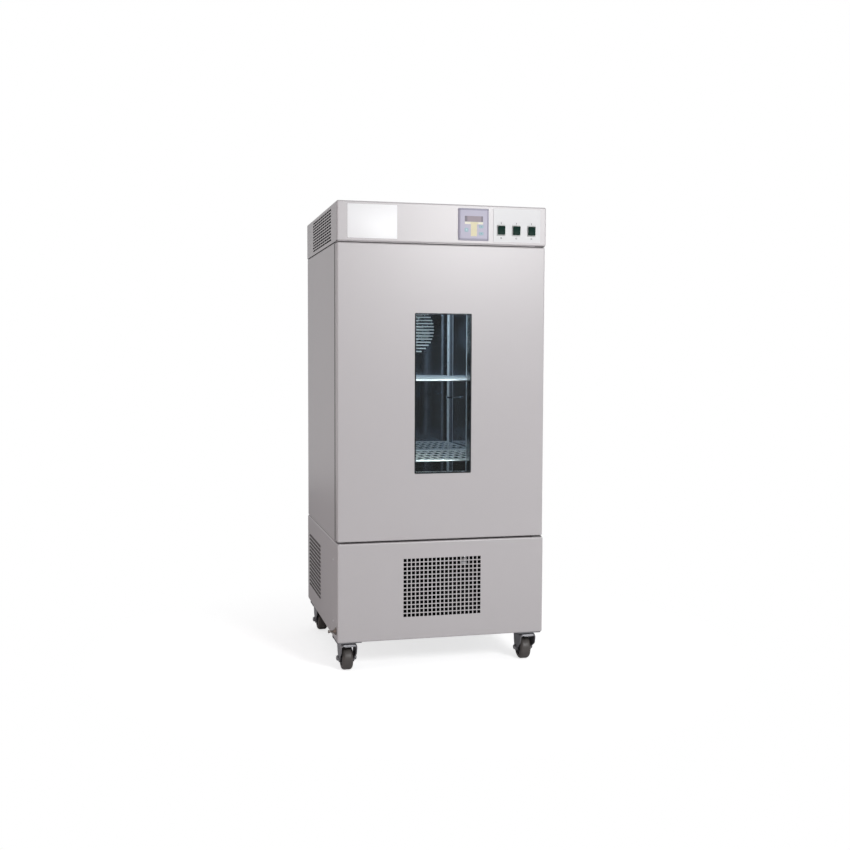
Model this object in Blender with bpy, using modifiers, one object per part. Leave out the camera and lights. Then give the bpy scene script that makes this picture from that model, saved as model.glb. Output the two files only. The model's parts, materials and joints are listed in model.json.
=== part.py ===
"""Biochemical oxygen demand incubator, 150 litre class, as an assembly of its separate pieces.

Metres, +Z up. The origin lies on the floor under the middle of the overall box. The front faces -Y.
Sizes inside the cabinet are read in cabinet terms: x from the middle plane, y back from the front
plane, z up from the underside of the cabinet. place() turns them into world coordinates.
"""

import math

import bmesh
import bpy
from mathutils import Matrix, Vector

# Cabinet
WIDTH = 0.650
DEPTH = 0.648
BASE_HEIGHT = 0.300
DOOR_GAP_BELOW = 0.0055
DOOR_HEIGHT = 0.8925
DOOR_GAP_ABOVE = 0.004
CONTROL_HEIGHT = 0.118
SHEET = 0.0012
EDGE_RADIUS = 0.004
FIT = 0.0003
FRONT_RETURN = 0.012
SIDE_RETURN = 0.015
BACK_RETURN = 0.012
BODY_FRONT = 0.049
BODY_INSET = 0.0012
FLOOR_CLEARANCE = 0.100

# Chamber and its air duct
SIDE_FOAM = 0.085
END_FOAM = 0.060
BACK_FOAM = 0.099
DUCT_DEPTH = 0.100
LINER_SHEET = 0.001
CHAMBER_RADIUS = 0.006
FAN_DROP = 0.190
GUARD_RADIUS = 0.085
GUARD_PITCH = 0.0106
GUARD_SLOT = 0.0062
GUARD_ROWS = 15
INTAKE_SLOTS = 3
INTAKE_PITCH = 0.110
INTAKE_LENGTH = 0.090
INTAKE_SLOT_HEIGHT = 0.012
INTAKE_RISE = 0.040

# Shelves and their uprights
UPRIGHT_WIDTH = 0.025
UPRIGHT_DEPTH = 0.008
UPRIGHT_MARGIN = 0.020
UPRIGHT_FRONT_SETBACK = 0.038
UPRIGHT_BACK_SETBACK = 0.100
NOTCH_PITCH = 0.050
NOTCH_WIDTH = 0.012
NOTCH_HEIGHT = 0.005
NOTCH_COUNT = 14
FIRST_NOTCH_RISE = 0.010
HOOK_REACH = 0.012
HOOK_HEIGHT = 0.006
SHELF_THICKNESS = 0.005
SHELF_SIDE_CLEARANCE = 0.004
SHELF_RIM = 0.006
SHELF_ROD = 0.0035
SHELF_ROD_PITCH = 0.025
SHELF_FRONT_SETBACK = 0.024
SHELF_BACK_CLEARANCE = 0.012
LOWER_NOTCH = 3
UPPER_NOTCH = 8

# Door
DOOR_LEFT_INSET = 0.0002
DOOR_RIGHT_INSET = 0.0025
DOOR_SKIN_DEPTH = 0.036
DOOR_THICKNESS = 0.044
WINDOW_WIDTH = 0.178
WINDOW_HEIGHT = 0.486
WINDOW_RISE = 0.2015
WINDOW_FRAME_WALL = 0.0028
WINDOW_LIP = 0.0012
WINDOW_LIP_DEPTH = 0.005
WINDOW_RADIUS = 0.003
GLASS = 0.004
GLASS_SPACING = 0.024
GASKET_INSET = 0.018
GASKET_WIDTH = 0.012
GASKET_RADIUS = 0.001
HINGE_INSET = 0.015
HINGE_Y = 0.018
HINGE_PIN_RADIUS = 0.004
HINGE_PIN_LENGTH = 0.014
HINGE_PIN_CLEARANCE = 0.0005
HINGE_LEAF = 0.002
HINGE_LEAF_WIDTH = 0.030
HINGE_LEAF_FRONT = 0.006
HINGE_WASHER_RADIUS = 0.007

# Front grille and side louvres of the machine compartment
GRILLE_COLUMNS = 19
GRILLE_ROWS = 14
GRILLE_PITCH = 0.013
GRILLE_HOLE = 0.009
GRILLE_RISE = 0.0094
LOUVRE_ROWS = 14
LOUVRE_PITCH = 0.01315
LOUVRE_LENGTH = 0.249
LOUVRE_BACK_INSET = 0.053
LOUVRE_PROUD = 0.0035
LOUVRE_RISE = 0.0085
LOUVRE_WALL = 0.001
BACK_SLOTS = 7
BACK_SLOT_LENGTH = 0.300
BACK_SLOT_HEIGHT = 0.006
BACK_SLOT_PITCH = 0.020
TRAY_RIM = 0.040
DECK = 0.0015

# Control box
VENT_ROWS = 11
VENT_COLUMNS = 3
VENT_PITCH = 0.00905
VENT_SLOT_HEIGHT = 0.0045
VENT_COLUMN_PITCH = 0.116
VENT_SLOT_LENGTH = 0.098
VENT_STAGGER = 0.038
VENT_FRONT = 0.121
PLATE_WIDTH = 0.150
PLATE_HEIGHT = 0.100
PLATE_THICKNESS = 0.001
PLATE_RADIUS = 0.002
SWITCH_PLATE_INSET = 0.0945
CONTROLLER_SPACING = 0.1385
CONTROLLER_FACE = 0.096
CONTROLLER_PROUD = 0.006
CONTROLLER_CASE = 0.090
CONTROLLER_CASE_DEPTH = 0.075
CONTROLLER_RADIUS = 0.0015
DISPLAY_WIDTH = 0.056
DISPLAY_HEIGHT = 0.0165
DISPLAY_SHIFT = 0.001
DISPLAY_RISE = 0.0163
DISPLAY_RECESS = 0.0012
KEY_DEPTH = 0.0045
KEY_PROUD = 0.0008
KEY_TRAVEL = 0.0005
KEY_RADIUS = 0.001
SET_KEY_WIDTH = 0.012
SET_KEY_HEIGHT = 0.012
SET_KEY_DROP = 0.017
STEP_KEY_WIDTH = 0.014
STEP_KEY_HEIGHT = 0.0095
UP_KEY_DROP = 0.0065
DOWN_KEY_DROP = 0.0273
KEY_SPREAD = 0.0232
SWITCHES = 3
SWITCH_PITCH = 0.0485
SWITCH_SHIFT = 0.0022
SWITCH_DROP = 0.0145
BEZEL_WIDTH = 0.026
BEZEL_HEIGHT = 0.0315
BEZEL_THICKNESS = 0.0025
BEZEL_RADIUS = 0.0015
SWITCH_BODY_WIDTH = 0.0246
SWITCH_BODY_HEIGHT = 0.0292
SWITCH_BODY_DEPTH = 0.026
ROCKER_WIDTH = 0.0220
ROCKER_HALF_HEIGHT = 0.0122
ROCKER_SIDE_CLEARANCE = 0.0003
ROCKER_END_CLEARANCE = 0.0004
ROCKER_PIVOT_DEPTH = 0.002
ROCKER_CROWN = 0.0075
ROCKER_DISH = 0.0015
ROCKER_SKIRT = 0.0045
ROCKER_TILT = math.radians(8)
ROCKER_PIN_RADIUS = 0.0013
TERMINAL_WIDTH = 0.0063
TERMINAL_THICKNESS = 0.0008
TERMINAL_LENGTH = 0.008
TERMINAL_PITCH = 0.008

# Fans
FAN_RADIUS = 0.074
FAN_HUB_RADIUS = 0.018
FAN_HUB_LENGTH = 0.018
FAN_BLADES = 5
FAN_BLADE_PITCH = math.radians(32)
FAN_BLADE_THICKNESS = 0.0015
FAN_BLADE_SWEEP = math.radians(14)
FAN_BLADE_ROOT_TWIST = 1.15
FAN_BLADE_TIP_TWIST = 0.75
FAN_BLADE_CHORD = 0.42
FAN_BLADE_BELLY = 0.16
FAN_NOSE = 0.25
FAN_SHAFT_RADIUS = 0.003
FAN_SHAFT_LENGTH = 0.022
FAN_GUARD_GAP = 0.010
MOTOR_RADIUS = 0.032
MOTOR_BOSS_RADIUS = 0.010
MOTOR_BOSS_LENGTH = 0.006
MOTOR_CHAMFER = 0.004
COOLING_FAN_SCALE = 1.2
SHROUD_SHEET = 0.0015
SHROUD_HOLE_RADIUS = 0.094
SHROUD_ARM = 0.008
SHROUD_ARM_SHRINK = 0.001
SHROUD_FAN_ROOM = 0.006
SHROUD_MOTOR_GAP = 0.010
COOLING_MOTOR_LENGTH = 0.045

# Refrigeration
COMPRESSOR_RADIUS = 0.074
COMPRESSOR_HEIGHT = 0.165
COMPRESSOR_SIDE_INSET = 0.175
COMPRESSOR_BACK_INSET = 0.208
COMPRESSOR_PLATE = 0.003
COMPRESSOR_PLATE_SIZE = 0.170
COMPRESSOR_FOOT_RADIUS = 0.011
COMPRESSOR_FOOT_HEIGHT = 0.014
COMPRESSOR_FOOT_MARGIN = 0.003
COMPRESSOR_SEAM_PROUD = 0.0037
COMPRESSOR_BOX_PROUD = 0.022
COMPRESSOR_BOX_SUNK = 0.020
COMPRESSOR_BOX_WIDTH = 0.056
COMPRESSOR_BOX_HEIGHT = 0.055
COMPRESSOR_BOX_RISE = 0.033
CONDENSER_OFFSET = 0.022
CONDENSER_CORE = 0.010
CONDENSER_FIN_DEPTH = 0.014
CONDENSER_FIN = 0.0016
CONDENSER_FIN_PITCH = 0.016
CONDENSER_FINS = 16
CONDENSER_HEIGHT = 0.215
EVAPORATOR_RUNS = 5
EVAPORATOR_PITCH = 0.050
EVAPORATOR_HALF_WIDTH = 0.170
EVAPORATOR_TUBE_RADIUS = 0.0048
EVAPORATOR_RISE = 0.160
COIL_BRACKET_WIDTH = 0.012
COIL_BRACKET_MARGIN = 0.008
COIL_BRACKET_INSET = 0.034
HEATER_TUBE_RADIUS = 0.004
HEATER_HALF_WIDTH = 0.130
HEATER_RISE = 0.030
HEATER_LIFT = 0.085

# Chamber fittings
PROBE_SETBACK = 0.204
PROBE_RISE = 0.354
PROBE_RADIUS = 0.003
PROBE_LENGTH = 0.060
PROBE_TIP_RADIUS = 0.002
PROBE_NUT_RADIUS = 0.006
PROBE_NUT_LENGTH = 0.006
PROBE_NUT_CHAMFER = 0.002

# Outlets
NOZZLE_Y = 0.028
NOZZLE_HEIGHT = 0.031
NOZZLE_REACH = 0.024
NOZZLE_FLARE_RADIUS = 0.011
NOZZLE_FLARE_RIM = 0.002
NOZZLE_WAIST_RADIUS = 0.0068
NOZZLE_WAIST = 0.006
NOZZLE_NECK = 0.0132
NOZZLE_TIP_RADIUS = 0.0048
NOZZLE_TIP_LENGTH = 0.0034
NOZZLE_CHAMFER = 0.001
NOZZLE_NECK_RADIUS = 0.003
NOZZLE_BORE_RADIUS = 0.0018
NOZZLE_SHANK_RADIUS = 0.007
NOZZLE_SHANK_LENGTH = 0.010
GLAND_REACH = 0.020
GLAND_COLLAR_RADIUS = 0.0127
GLAND_COLLAR_LENGTH = 0.0066
GLAND_NUT_RADIUS = 0.0105
GLAND_NUT_LENGTH = 0.0054
GLAND_TIP_RADIUS = 0.0083
GLAND_CHAMFER = 0.001
GLAND_BORE_RADIUS = 0.0045
GLAND_SIDE_INSET = 0.095
GLAND_HEIGHT = 0.075
GLAND_SHANK_RADIUS = 0.008

# Casters
CASTER_INSET_X = 0.039
CASTER_FRONT_Y = 0.047
CASTER_BACK_INSET = 0.088
CASTER_TRAIL = 0.025
CASTER_PLATE = 0.072
CASTER_PLATE_THICKNESS = 0.003
CASTER_PLATE_RADIUS = 0.006
CASTER_RACE_RADIUS = 0.023
CASTER_RACE_FLARE = 0.003
CASTER_RACE_HEIGHT = 0.006
KINGPIN_RADIUS = 0.005
KINGPIN_CLEARANCE = 0.0004
KINGPIN_NUT_RADIUS = 0.007
KINGPIN_NUT_HEIGHT = 0.005
FORK_SHEET = 0.0028
FORK_WIDTH = 0.0415
FORK_TOP_LENGTH = 0.050
FORK_SHOULDER = 0.010
FORK_ARCH_RADIUS = 0.011
FORK_FRONT_SKIRT = 0.012
FORK_BACK_SKIRT = 0.010
WHEEL_RADIUS = 0.0365
WHEEL_WIDTH = 0.029
WHEEL_HUB_WIDTH = 0.034
WHEEL_HUB_RADIUS = 0.012
WHEEL_SHOULDER = 0.009
WHEEL_DISH = 0.003
AXLE_RADIUS = 0.004
AXLE_CLEARANCE = 0.0004
AXLE_BOSS_RADIUS = 0.0135
AXLE_HEAD_RADIUS = 0.0072
AXLE_HEAD_LENGTH = 0.006
AXLE_HEAD_SINK = 0.0005

# Levels and planes that follow from the sizes above
HALF_WIDTH = WIDTH / 2
DOOR_BOTTOM = BASE_HEIGHT + DOOR_GAP_BELOW
DOOR_TOP = DOOR_BOTTOM + DOOR_HEIGHT
CONTROL_BOTTOM = DOOR_TOP + DOOR_GAP_ABOVE
CABINET_HEIGHT = CONTROL_BOTTOM + CONTROL_HEIGHT
DOOR_LEFT = -HALF_WIDTH + DOOR_LEFT_INSET
DOOR_RIGHT = HALF_WIDTH - DOOR_RIGHT_INSET
HINGE_X = DOOR_RIGHT - HINGE_INSET
BODY_BOTTOM = BASE_HEIGHT + FIT
BODY_TOP = CONTROL_BOTTOM - FIT
CHAMBER_WIDTH = WIDTH - 2 * SIDE_FOAM
CHAMBER_BOTTOM = BASE_HEIGHT + END_FOAM
CHAMBER_TOP = CONTROL_BOTTOM - END_FOAM
CHAMBER_BACK = DEPTH - BACK_FOAM
PANEL_Y = CHAMBER_BACK - DUCT_DEPTH
FAN_HEIGHT = CHAMBER_TOP - FAN_DROP
CONTROL_MIDDLE = CONTROL_BOTTOM + CONTROL_HEIGHT / 2
SWITCH_PLATE_X = HALF_WIDTH - SWITCH_PLATE_INSET
CONTROLLER_X = SWITCH_PLATE_X - CONTROLLER_SPACING
LOUVRE_Y = DEPTH - LOUVRE_BACK_INSET - LOUVRE_LENGTH / 2
LOUVRE_BOTTOM = (BASE_HEIGHT - (LOUVRE_ROWS - 1) * LOUVRE_PITCH - LOUVRE_RISE) / 2
SEAM = 0.0004
COMPRESSOR_X = HALF_WIDTH - COMPRESSOR_SIDE_INSET
GLAND_X = HALF_WIDTH - GLAND_SIDE_INSET
MACHINE_FLOOR = SHEET + FIT + DECK + FIT
CASTER_PLATE_BOTTOM = -FIT - CASTER_PLATE_THICKNESS
CROWN_TOP = CASTER_PLATE_BOTTOM - CASTER_RACE_HEIGHT - FIT
AXLE_Z = WHEEL_RADIUS - FLOOR_CLEARANCE
WELL_HALF_WIDTH = ROCKER_WIDTH / 2 + ROCKER_SIDE_CLEARANCE
SWITCH_PLATE_FRONT = -(PLATE_THICKNESS + FIT)
BEZEL_BACK = SWITCH_PLATE_FRONT - FIT
BEZEL_FRONT = BEZEL_BACK - BEZEL_THICKNESS
ROCKER_PIVOT_Y = BEZEL_FRONT + ROCKER_PIVOT_DEPTH
ROCKER_REACH = ROCKER_CROWN * math.cos(ROCKER_TILT) + ROCKER_HALF_HEIGHT * math.sin(ROCKER_TILT)
FRONT_PROUD = max(CONTROLLER_PROUD + FIT + KEY_PROUD, ROCKER_REACH - ROCKER_PIVOT_Y)
BACK_PROUD = GLAND_REACH
LEFT_PROUD = NOZZLE_REACH
RIGHT_PROUD = LOUVRE_PROUD
X_MIDDLE = (LEFT_PROUD - RIGHT_PROUD) / 2
Y_FRONT = (FRONT_PROUD - BACK_PROUD - DEPTH) / 2

# The compressor's shell as shares of its radius and height, from the top down over the weld seam
COMPRESSOR_SEAM = 1 + COMPRESSOR_SEAM_PROUD / COMPRESSOR_RADIUS
COMPRESSOR_SHELL = ((0.0, 1.0), (0.5, 0.96), (0.86, 0.84), (1.0, 0.66), (1.0, 0.50),
                    (COMPRESSOR_SEAM, 0.50), (COMPRESSOR_SEAM, 0.46), (1.0, 0.46), (0.97, 0.20),
                    (0.75, 0.03), (0.5, 0.0))

GUIDES = "guides"
PARTS = "bod_incubator"
NORMALS = {"-X": (-1, 0, 0), "+X": (1, 0, 0), "-Y": (0, -1, 0), "+Y": (0, 1, 0), "-Z": (0, 0, -1),
           "+Z": (0, 0, 1)}
FACING_FRONT = ((1, 0, 0), (0, 0, 1), (0, -1, 0))
FACING_SIDE = ((0, 1, 0), (0, 0, 1), (1, 0, 0))
FACING_UP = ((1, 0, 0), (0, 1, 0), (0, 0, 1))


def place(x, y, z):
    """World position of a point given in cabinet terms."""
    return Vector((X_MIDDLE + x, Y_FRONT + y, FLOOR_CLEARANCE + z))


def clear_scene():
    """Empties the file and adds one collection for the parts and one for the guides."""
    for old in list(bpy.data.objects):
        bpy.data.objects.remove(old, do_unlink=True)
    for old in list(bpy.data.collections):
        bpy.data.collections.remove(old)
    for name in (PARTS, GUIDES):
        bpy.context.scene.collection.children.link(bpy.data.collections.new(name))


def make_finish(name, colour, roughness, metallic=0.0):
    """A plain finish."""
    finish = bpy.data.materials.new(name)
    finish.use_nodes = True
    shader = finish.node_tree.nodes["Principled BSDF"]
    shader.inputs["Base Color"].default_value = (*colour, 1.0)
    shader.inputs["Roughness"].default_value = roughness
    shader.inputs["Metallic"].default_value = metallic
    return finish


def add_object(name, mesh, finish, location=(0.0, 0.0, 0.0), guide=False):
    """An object in the parts collection, or a hidden helper in the guides collection."""
    made = bpy.data.objects.new(name, mesh)
    made.location = location
    bpy.data.collections[GUIDES if guide else PARTS].objects.link(made)
    if guide:
        made.hide_render = True
        made.display_type = "WIRE"
    if finish is not None:
        mesh.materials.append(finish)
    return made


def mesh_from(bm, name):
    """The mesh of an editing mesh, which is freed."""
    mesh = bpy.data.meshes.new(name)
    bm.to_mesh(mesh)
    bm.free()
    return mesh


def middle_and_size(x, y, z):
    """World middle and size of a box given by its ranges."""
    low = place(x[0], y[0], z[0])
    high = place(x[1], y[1], z[1])
    return (low + high) / 2, high - low


def make_block(name, x, y, z, finish=None, radius=0.0, guide=False):
    """A solid box between the given ranges, its edges rounded by radius."""
    middle, size = middle_and_size(x, y, z)
    bm = bmesh.new()
    bmesh.ops.create_cube(bm, size=1.0, matrix=Matrix.Diagonal((*size, 1.0)))
    made = add_object(name, mesh_from(bm, name), finish, middle, guide)
    if radius:
        bevel = made.modifiers.new("edges", "BEVEL")
        bevel.width = radius
        bevel.segments = 1
    return made


def make_sheet_box(name, x, y, z, open_sides, finish, wall=SHEET, radius=EDGE_RADIUS, segments=2):
    """A box of bent sheet, open on the named sides, its bends rounded by radius, its wall inside."""
    middle, size = middle_and_size(x, y, z)
    bm = bmesh.new()
    bmesh.ops.create_cube(bm, size=1.0, matrix=Matrix.Diagonal((*size, 1.0)))
    bm.normal_update()
    outward = [Vector(NORMALS[side]) for side in open_sides]
    opened = [face for face in bm.faces if any(face.normal.dot(normal) > 0.9 for normal in outward)]
    bmesh.ops.delete(bm, geom=opened, context="FACES")
    bends = [edge for edge in bm.edges if len(edge.link_faces) == 2]
    if radius:
        bmesh.ops.bevel(bm, geom=bends, offset=radius, segments=segments, affect="EDGES", profile=0.5)
    made = add_object(name, mesh_from(bm, name), finish, middle)
    walls = made.modifiers.new("wall", "SOLIDIFY")
    walls.thickness = wall
    walls.offset = -1.0
    walls.use_even_offset = True
    return made


def add_array(made, count, step):
    """Repeats an object along a step in its own directions."""
    array = made.modifiers.new("repeat", "ARRAY")
    array.use_relative_offset = False
    array.use_constant_offset = True
    array.constant_offset_displace = step
    array.count = count


def combine(target, other, operation):
    """Boolean of target with other, which becomes a guide."""
    step = target.modifiers.new(other.name, "BOOLEAN")
    step.operation = operation
    step.object = other
    step.solver = "EXACT"
    return target


def cut(target, other):
    """Target less other."""
    return combine(target, other, "DIFFERENCE")


def join(target, other):
    """Target with other grown onto it."""
    return combine(target, other, "UNION")


def cut_block(target, name, x, y, z):
    """Target less a box."""
    return cut(target, make_block(name, x, y, z, guide=True))


def turn_onto(axis):
    """Rotation that carries +Z onto the axis."""
    return Vector((0.0, 0.0, 1.0)).rotation_difference(Vector(axis)).to_euler()


def make_turned(name, profile, location, axis, finish=None, steps=20, closed=False, guide=False):
    """A turned piece. The profile is (radius, height) pairs down the outer side, from top to bottom."""
    bm = bmesh.new()
    points = [bm.verts.new((radius, 0.0, height)) for radius, height in profile]
    pairs = list(zip(points, points[1:]))
    if closed:
        pairs.append((points[-1], points[0]))
    for first, second in pairs:
        bm.edges.new((first, second))
    made = add_object(name, mesh_from(bm, name), finish, location, guide)
    made.rotation_euler = turn_onto(axis)
    screw = made.modifiers.new("turn", "SCREW")
    screw.steps = steps
    screw.render_steps = steps
    screw.use_merge_vertices = True
    screw.merge_threshold = 0.00001
    screw.use_smooth_shade = not guide
    return made


def make_rod(name, radius, low, high, location, axis, steps=16, guide=True, finish=None):
    """A plain round bar between two heights on its axis."""
    profile = [(0.0, high), (radius, high), (radius, low), (0.0, low)]
    return make_turned(name, profile, location, axis, finish, steps, guide=guide)


def mesh_of_curve(made):
    """The closed mesh of a curve object, which is removed."""
    bpy.context.view_layer.update()
    evaluated = made.evaluated_get(bpy.context.evaluated_depsgraph_get())
    mesh = bpy.data.meshes.new_from_object(evaluated)
    bm = bmesh.new()
    bm.from_mesh(mesh)
    bmesh.ops.remove_doubles(bm, verts=bm.verts, dist=0.000001)
    bmesh.ops.recalc_face_normals(bm, faces=bm.faces)
    bm.to_mesh(mesh)
    bm.free()
    mesh.materials.clear()
    bpy.data.objects.remove(made, do_unlink=True)
    return mesh


def make_extruded(name, outline, thickness, location, axes, finish=None, guide=False):
    """A flat outline carried through its thickness. axes are the world directions of the outline's
    first coordinate, its second coordinate and its thickness."""
    curve = bpy.data.curves.new(name, "CURVE")
    curve.dimensions = "2D"
    curve.fill_mode = "BOTH"
    curve.extrude = thickness / 2
    spline = curve.splines.new("POLY")
    spline.points.add(len(outline) - 1)
    for point, (across, up) in zip(spline.points, outline):
        point.co = (across, up, 0.0, 1.0)
    spline.use_cyclic_u = True
    flat = bpy.data.objects.new(name + "_outline", curve)
    bpy.data.collections[GUIDES].objects.link(flat)
    made = add_object(name, mesh_of_curve(flat), finish, location, guide)
    made.rotation_euler = Matrix([Vector(axis) for axis in axes]).transposed().to_euler()
    return made


def make_tube(name, path, radius, finish, resolution=1):
    """A tube along world points, with filled ends."""
    curve = bpy.data.curves.new(name, "CURVE")
    curve.dimensions = "3D"
    curve.bevel_depth = radius
    curve.bevel_resolution = resolution
    curve.use_fill_caps = True
    spline = curve.splines.new("POLY")
    spline.points.add(len(path) - 1)
    for point, position in zip(spline.points, path):
        point.co = (*position, 1.0)
    tube = bpy.data.objects.new(name + "_path", curve)
    bpy.data.collections[GUIDES].objects.link(tube)
    return add_object(name, mesh_of_curve(tube), finish)


def arc(centre, radius, start, end, steps):
    """Points of an arc in its plane, both ends included."""
    angles = [math.radians(start + (end - start) * i / steps) for i in range(steps + 1)]
    return [(centre[0] + radius * math.cos(a), centre[1] + radius * math.sin(a)) for a in angles]


def rounded_rectangle(width, height, radius, steps=2):
    """Points of a rectangle with round corners, anticlockwise."""
    points = []
    for quarter, (across, up) in enumerate(((1, 1), (-1, 1), (-1, -1), (1, -1))):
        centre = (across * (width / 2 - radius), up * (height / 2 - radius))
        points += arc(centre, radius, 90 * quarter, 90 * quarter + 90, steps)
    return points


def make_plate(name, x, z, width, height, front, thickness, radius, finish=None, guide=False):
    """A plate with rounded corners that faces the front, its front face at depth front."""
    location = place(x, front + thickness / 2, z)
    return make_extruded(name, rounded_rectangle(width, height, radius), thickness, location,
                         FACING_FRONT, finish, guide)


def build_base(paint, steel):
    """The machine compartment: front panel with its grille, louvred sides, slotted back and tray."""
    front = make_sheet_box("base_front_panel", (-HALF_WIDTH, HALF_WIDTH), (0, FRONT_RETURN),
                           (0, BASE_HEIGHT), ["+Y"], paint)
    first_x = -GRILLE_PITCH * (GRILLE_COLUMNS - 1) / 2
    first_z = BASE_HEIGHT / 2 + GRILLE_RISE - GRILLE_PITCH * (GRILLE_ROWS - 1) / 2
    hole = make_block("grille_holes", (first_x - GRILLE_HOLE / 2, first_x + GRILLE_HOLE / 2),
                      (-SHEET, 2 * SHEET), (first_z - GRILLE_HOLE / 2, first_z + GRILLE_HOLE / 2),
                      guide=True)
    add_array(hole, GRILLE_COLUMNS, (GRILLE_PITCH, 0, 0))
    add_array(hole, GRILLE_ROWS, (0, 0, GRILLE_PITCH))
    cut(front, hole)

    side_y = (FRONT_RETURN + SEAM, DEPTH - BACK_RETURN - SEAM)
    left = build_side_panel("base_left_panel", -1, side_y, paint)
    build_side_panel("base_right_panel", 1, side_y, paint)

    back = make_sheet_box("base_back_panel", (-HALF_WIDTH, HALF_WIDTH), (DEPTH - BACK_RETURN, DEPTH),
                          (0, BASE_HEIGHT), ["-Y"], paint)
    first_slot = (BASE_HEIGHT - (BACK_SLOTS - 1) * BACK_SLOT_PITCH - BACK_SLOT_HEIGHT) / 2
    slots = make_block("back_slots", (-BACK_SLOT_LENGTH / 2, BACK_SLOT_LENGTH / 2),
                       (DEPTH - 2 * SHEET, DEPTH + SHEET), (first_slot, first_slot + BACK_SLOT_HEIGHT),
                       guide=True)
    add_array(slots, BACK_SLOTS, (0, 0, BACK_SLOT_PITCH))
    cut(back, slots)
    gland_hole = make_rod("gland_hole", GLAND_SHANK_RADIUS + FIT, -2 * BACK_RETURN, SHEET,
                          place(GLAND_X, DEPTH, GLAND_HEIGHT), (0, 1, 0))
    cut(back, gland_hole)

    inside_x = HALF_WIDTH - SHEET - FIT
    tray_y = (SHEET + FIT, DEPTH - SHEET - FIT)
    tray = make_sheet_box("base_tray", (-inside_x, inside_x), tray_y, (SHEET + FIT, TRAY_RIM), ["+Z"],
                          steel, wall=DECK, segments=1)
    nozzle_hole = make_rod("nozzle_hole", NOZZLE_SHANK_RADIUS + FIT, -SIDE_RETURN, SHEET,
                           place(-HALF_WIDTH, NOZZLE_Y, NOZZLE_HEIGHT), (-1, 0, 0))
    cut(left, nozzle_hole)
    cut(tray, nozzle_hole)


def build_side_panel(name, side, y, paint):
    """One louvred side of the base. Each louvre is a pressed hood over a slot, open downwards."""
    outer = side * HALF_WIDTH
    inner = side * (HALF_WIDTH - SIDE_RETURN)
    panel = make_sheet_box(name, (min(outer, inner), max(outer, inner)), y, (0, BASE_HEIGHT),
                           ["+X" if side < 0 else "-X", "-Y", "+Y"], paint)
    hood = [(-SHEET / 2, LOUVRE_RISE), (-SHEET / 2, 0.0), (LOUVRE_PROUD, 0.0),
            (LOUVRE_PROUD, LOUVRE_WALL)]
    inside, inside_rise = LOUVRE_PROUD - LOUVRE_WALL, LOUVRE_RISE - 2 * LOUVRE_WALL
    hollow = [(-2 * SHEET, inside_rise), (-2 * SHEET, -LOUVRE_WALL), (inside, -LOUVRE_WALL), (inside, 0.0),
              (-SHEET / 2, inside_rise)]
    axes = ((side, 0, 0), (0, 0, 1), (0, -side, 0))
    location = place(outer, LOUVRE_Y, LOUVRE_BOTTOM)
    hoods = make_extruded(name + "_hoods", hood, LOUVRE_LENGTH, location, axes, guide=True)
    hollows = make_extruded(name + "_hollows", hollow, LOUVRE_LENGTH - 2 * LOUVRE_WALL, location, axes,
                            guide=True)
    for rows in (hoods, hollows):
        add_array(rows, LOUVRE_ROWS, (0, LOUVRE_PITCH, 0))
    join(panel, hoods)
    cut(panel, hollows)
    return panel


def build_body(paint, foam, stainless):
    """The insulated body: outer shell with its front flange, foam and the chamber liner."""
    half = HALF_WIDTH - BODY_INSET
    shell = make_sheet_box("body_shell", (-half, half), (BODY_FRONT, DEPTH), (BODY_BOTTOM, BODY_TOP), [],
                           paint)
    mouth_half = CHAMBER_WIDTH / 2 + LINER_SHEET + FIT
    mouth_z = (CHAMBER_BOTTOM - LINER_SHEET - FIT, CHAMBER_TOP + LINER_SHEET + FIT)
    cut_block(shell, "mouth", (-mouth_half, mouth_half), (BODY_FRONT - SHEET, BODY_FRONT + 2 * SHEET),
              mouth_z)

    inset = SHEET + FIT
    block = make_block("body_insulation", (-half + inset, half - inset),
                       (BODY_FRONT + inset, DEPTH - inset), (BODY_BOTTOM + inset, BODY_TOP - inset), foam,
                       radius=EDGE_RADIUS)
    cut_block(block, "cavity", (-mouth_half, mouth_half),
              (BODY_FRONT - SHEET, CHAMBER_BACK + LINER_SHEET + FIT), mouth_z)

    liner_half = CHAMBER_WIDTH / 2 + LINER_SHEET
    make_sheet_box("chamber_liner", (-liner_half, liner_half), (BODY_FRONT, CHAMBER_BACK + LINER_SHEET),
                   (CHAMBER_BOTTOM - LINER_SHEET, CHAMBER_TOP + LINER_SHEET), ["-Y"], stainless,
                   wall=LINER_SHEET, radius=CHAMBER_RADIUS)


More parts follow.
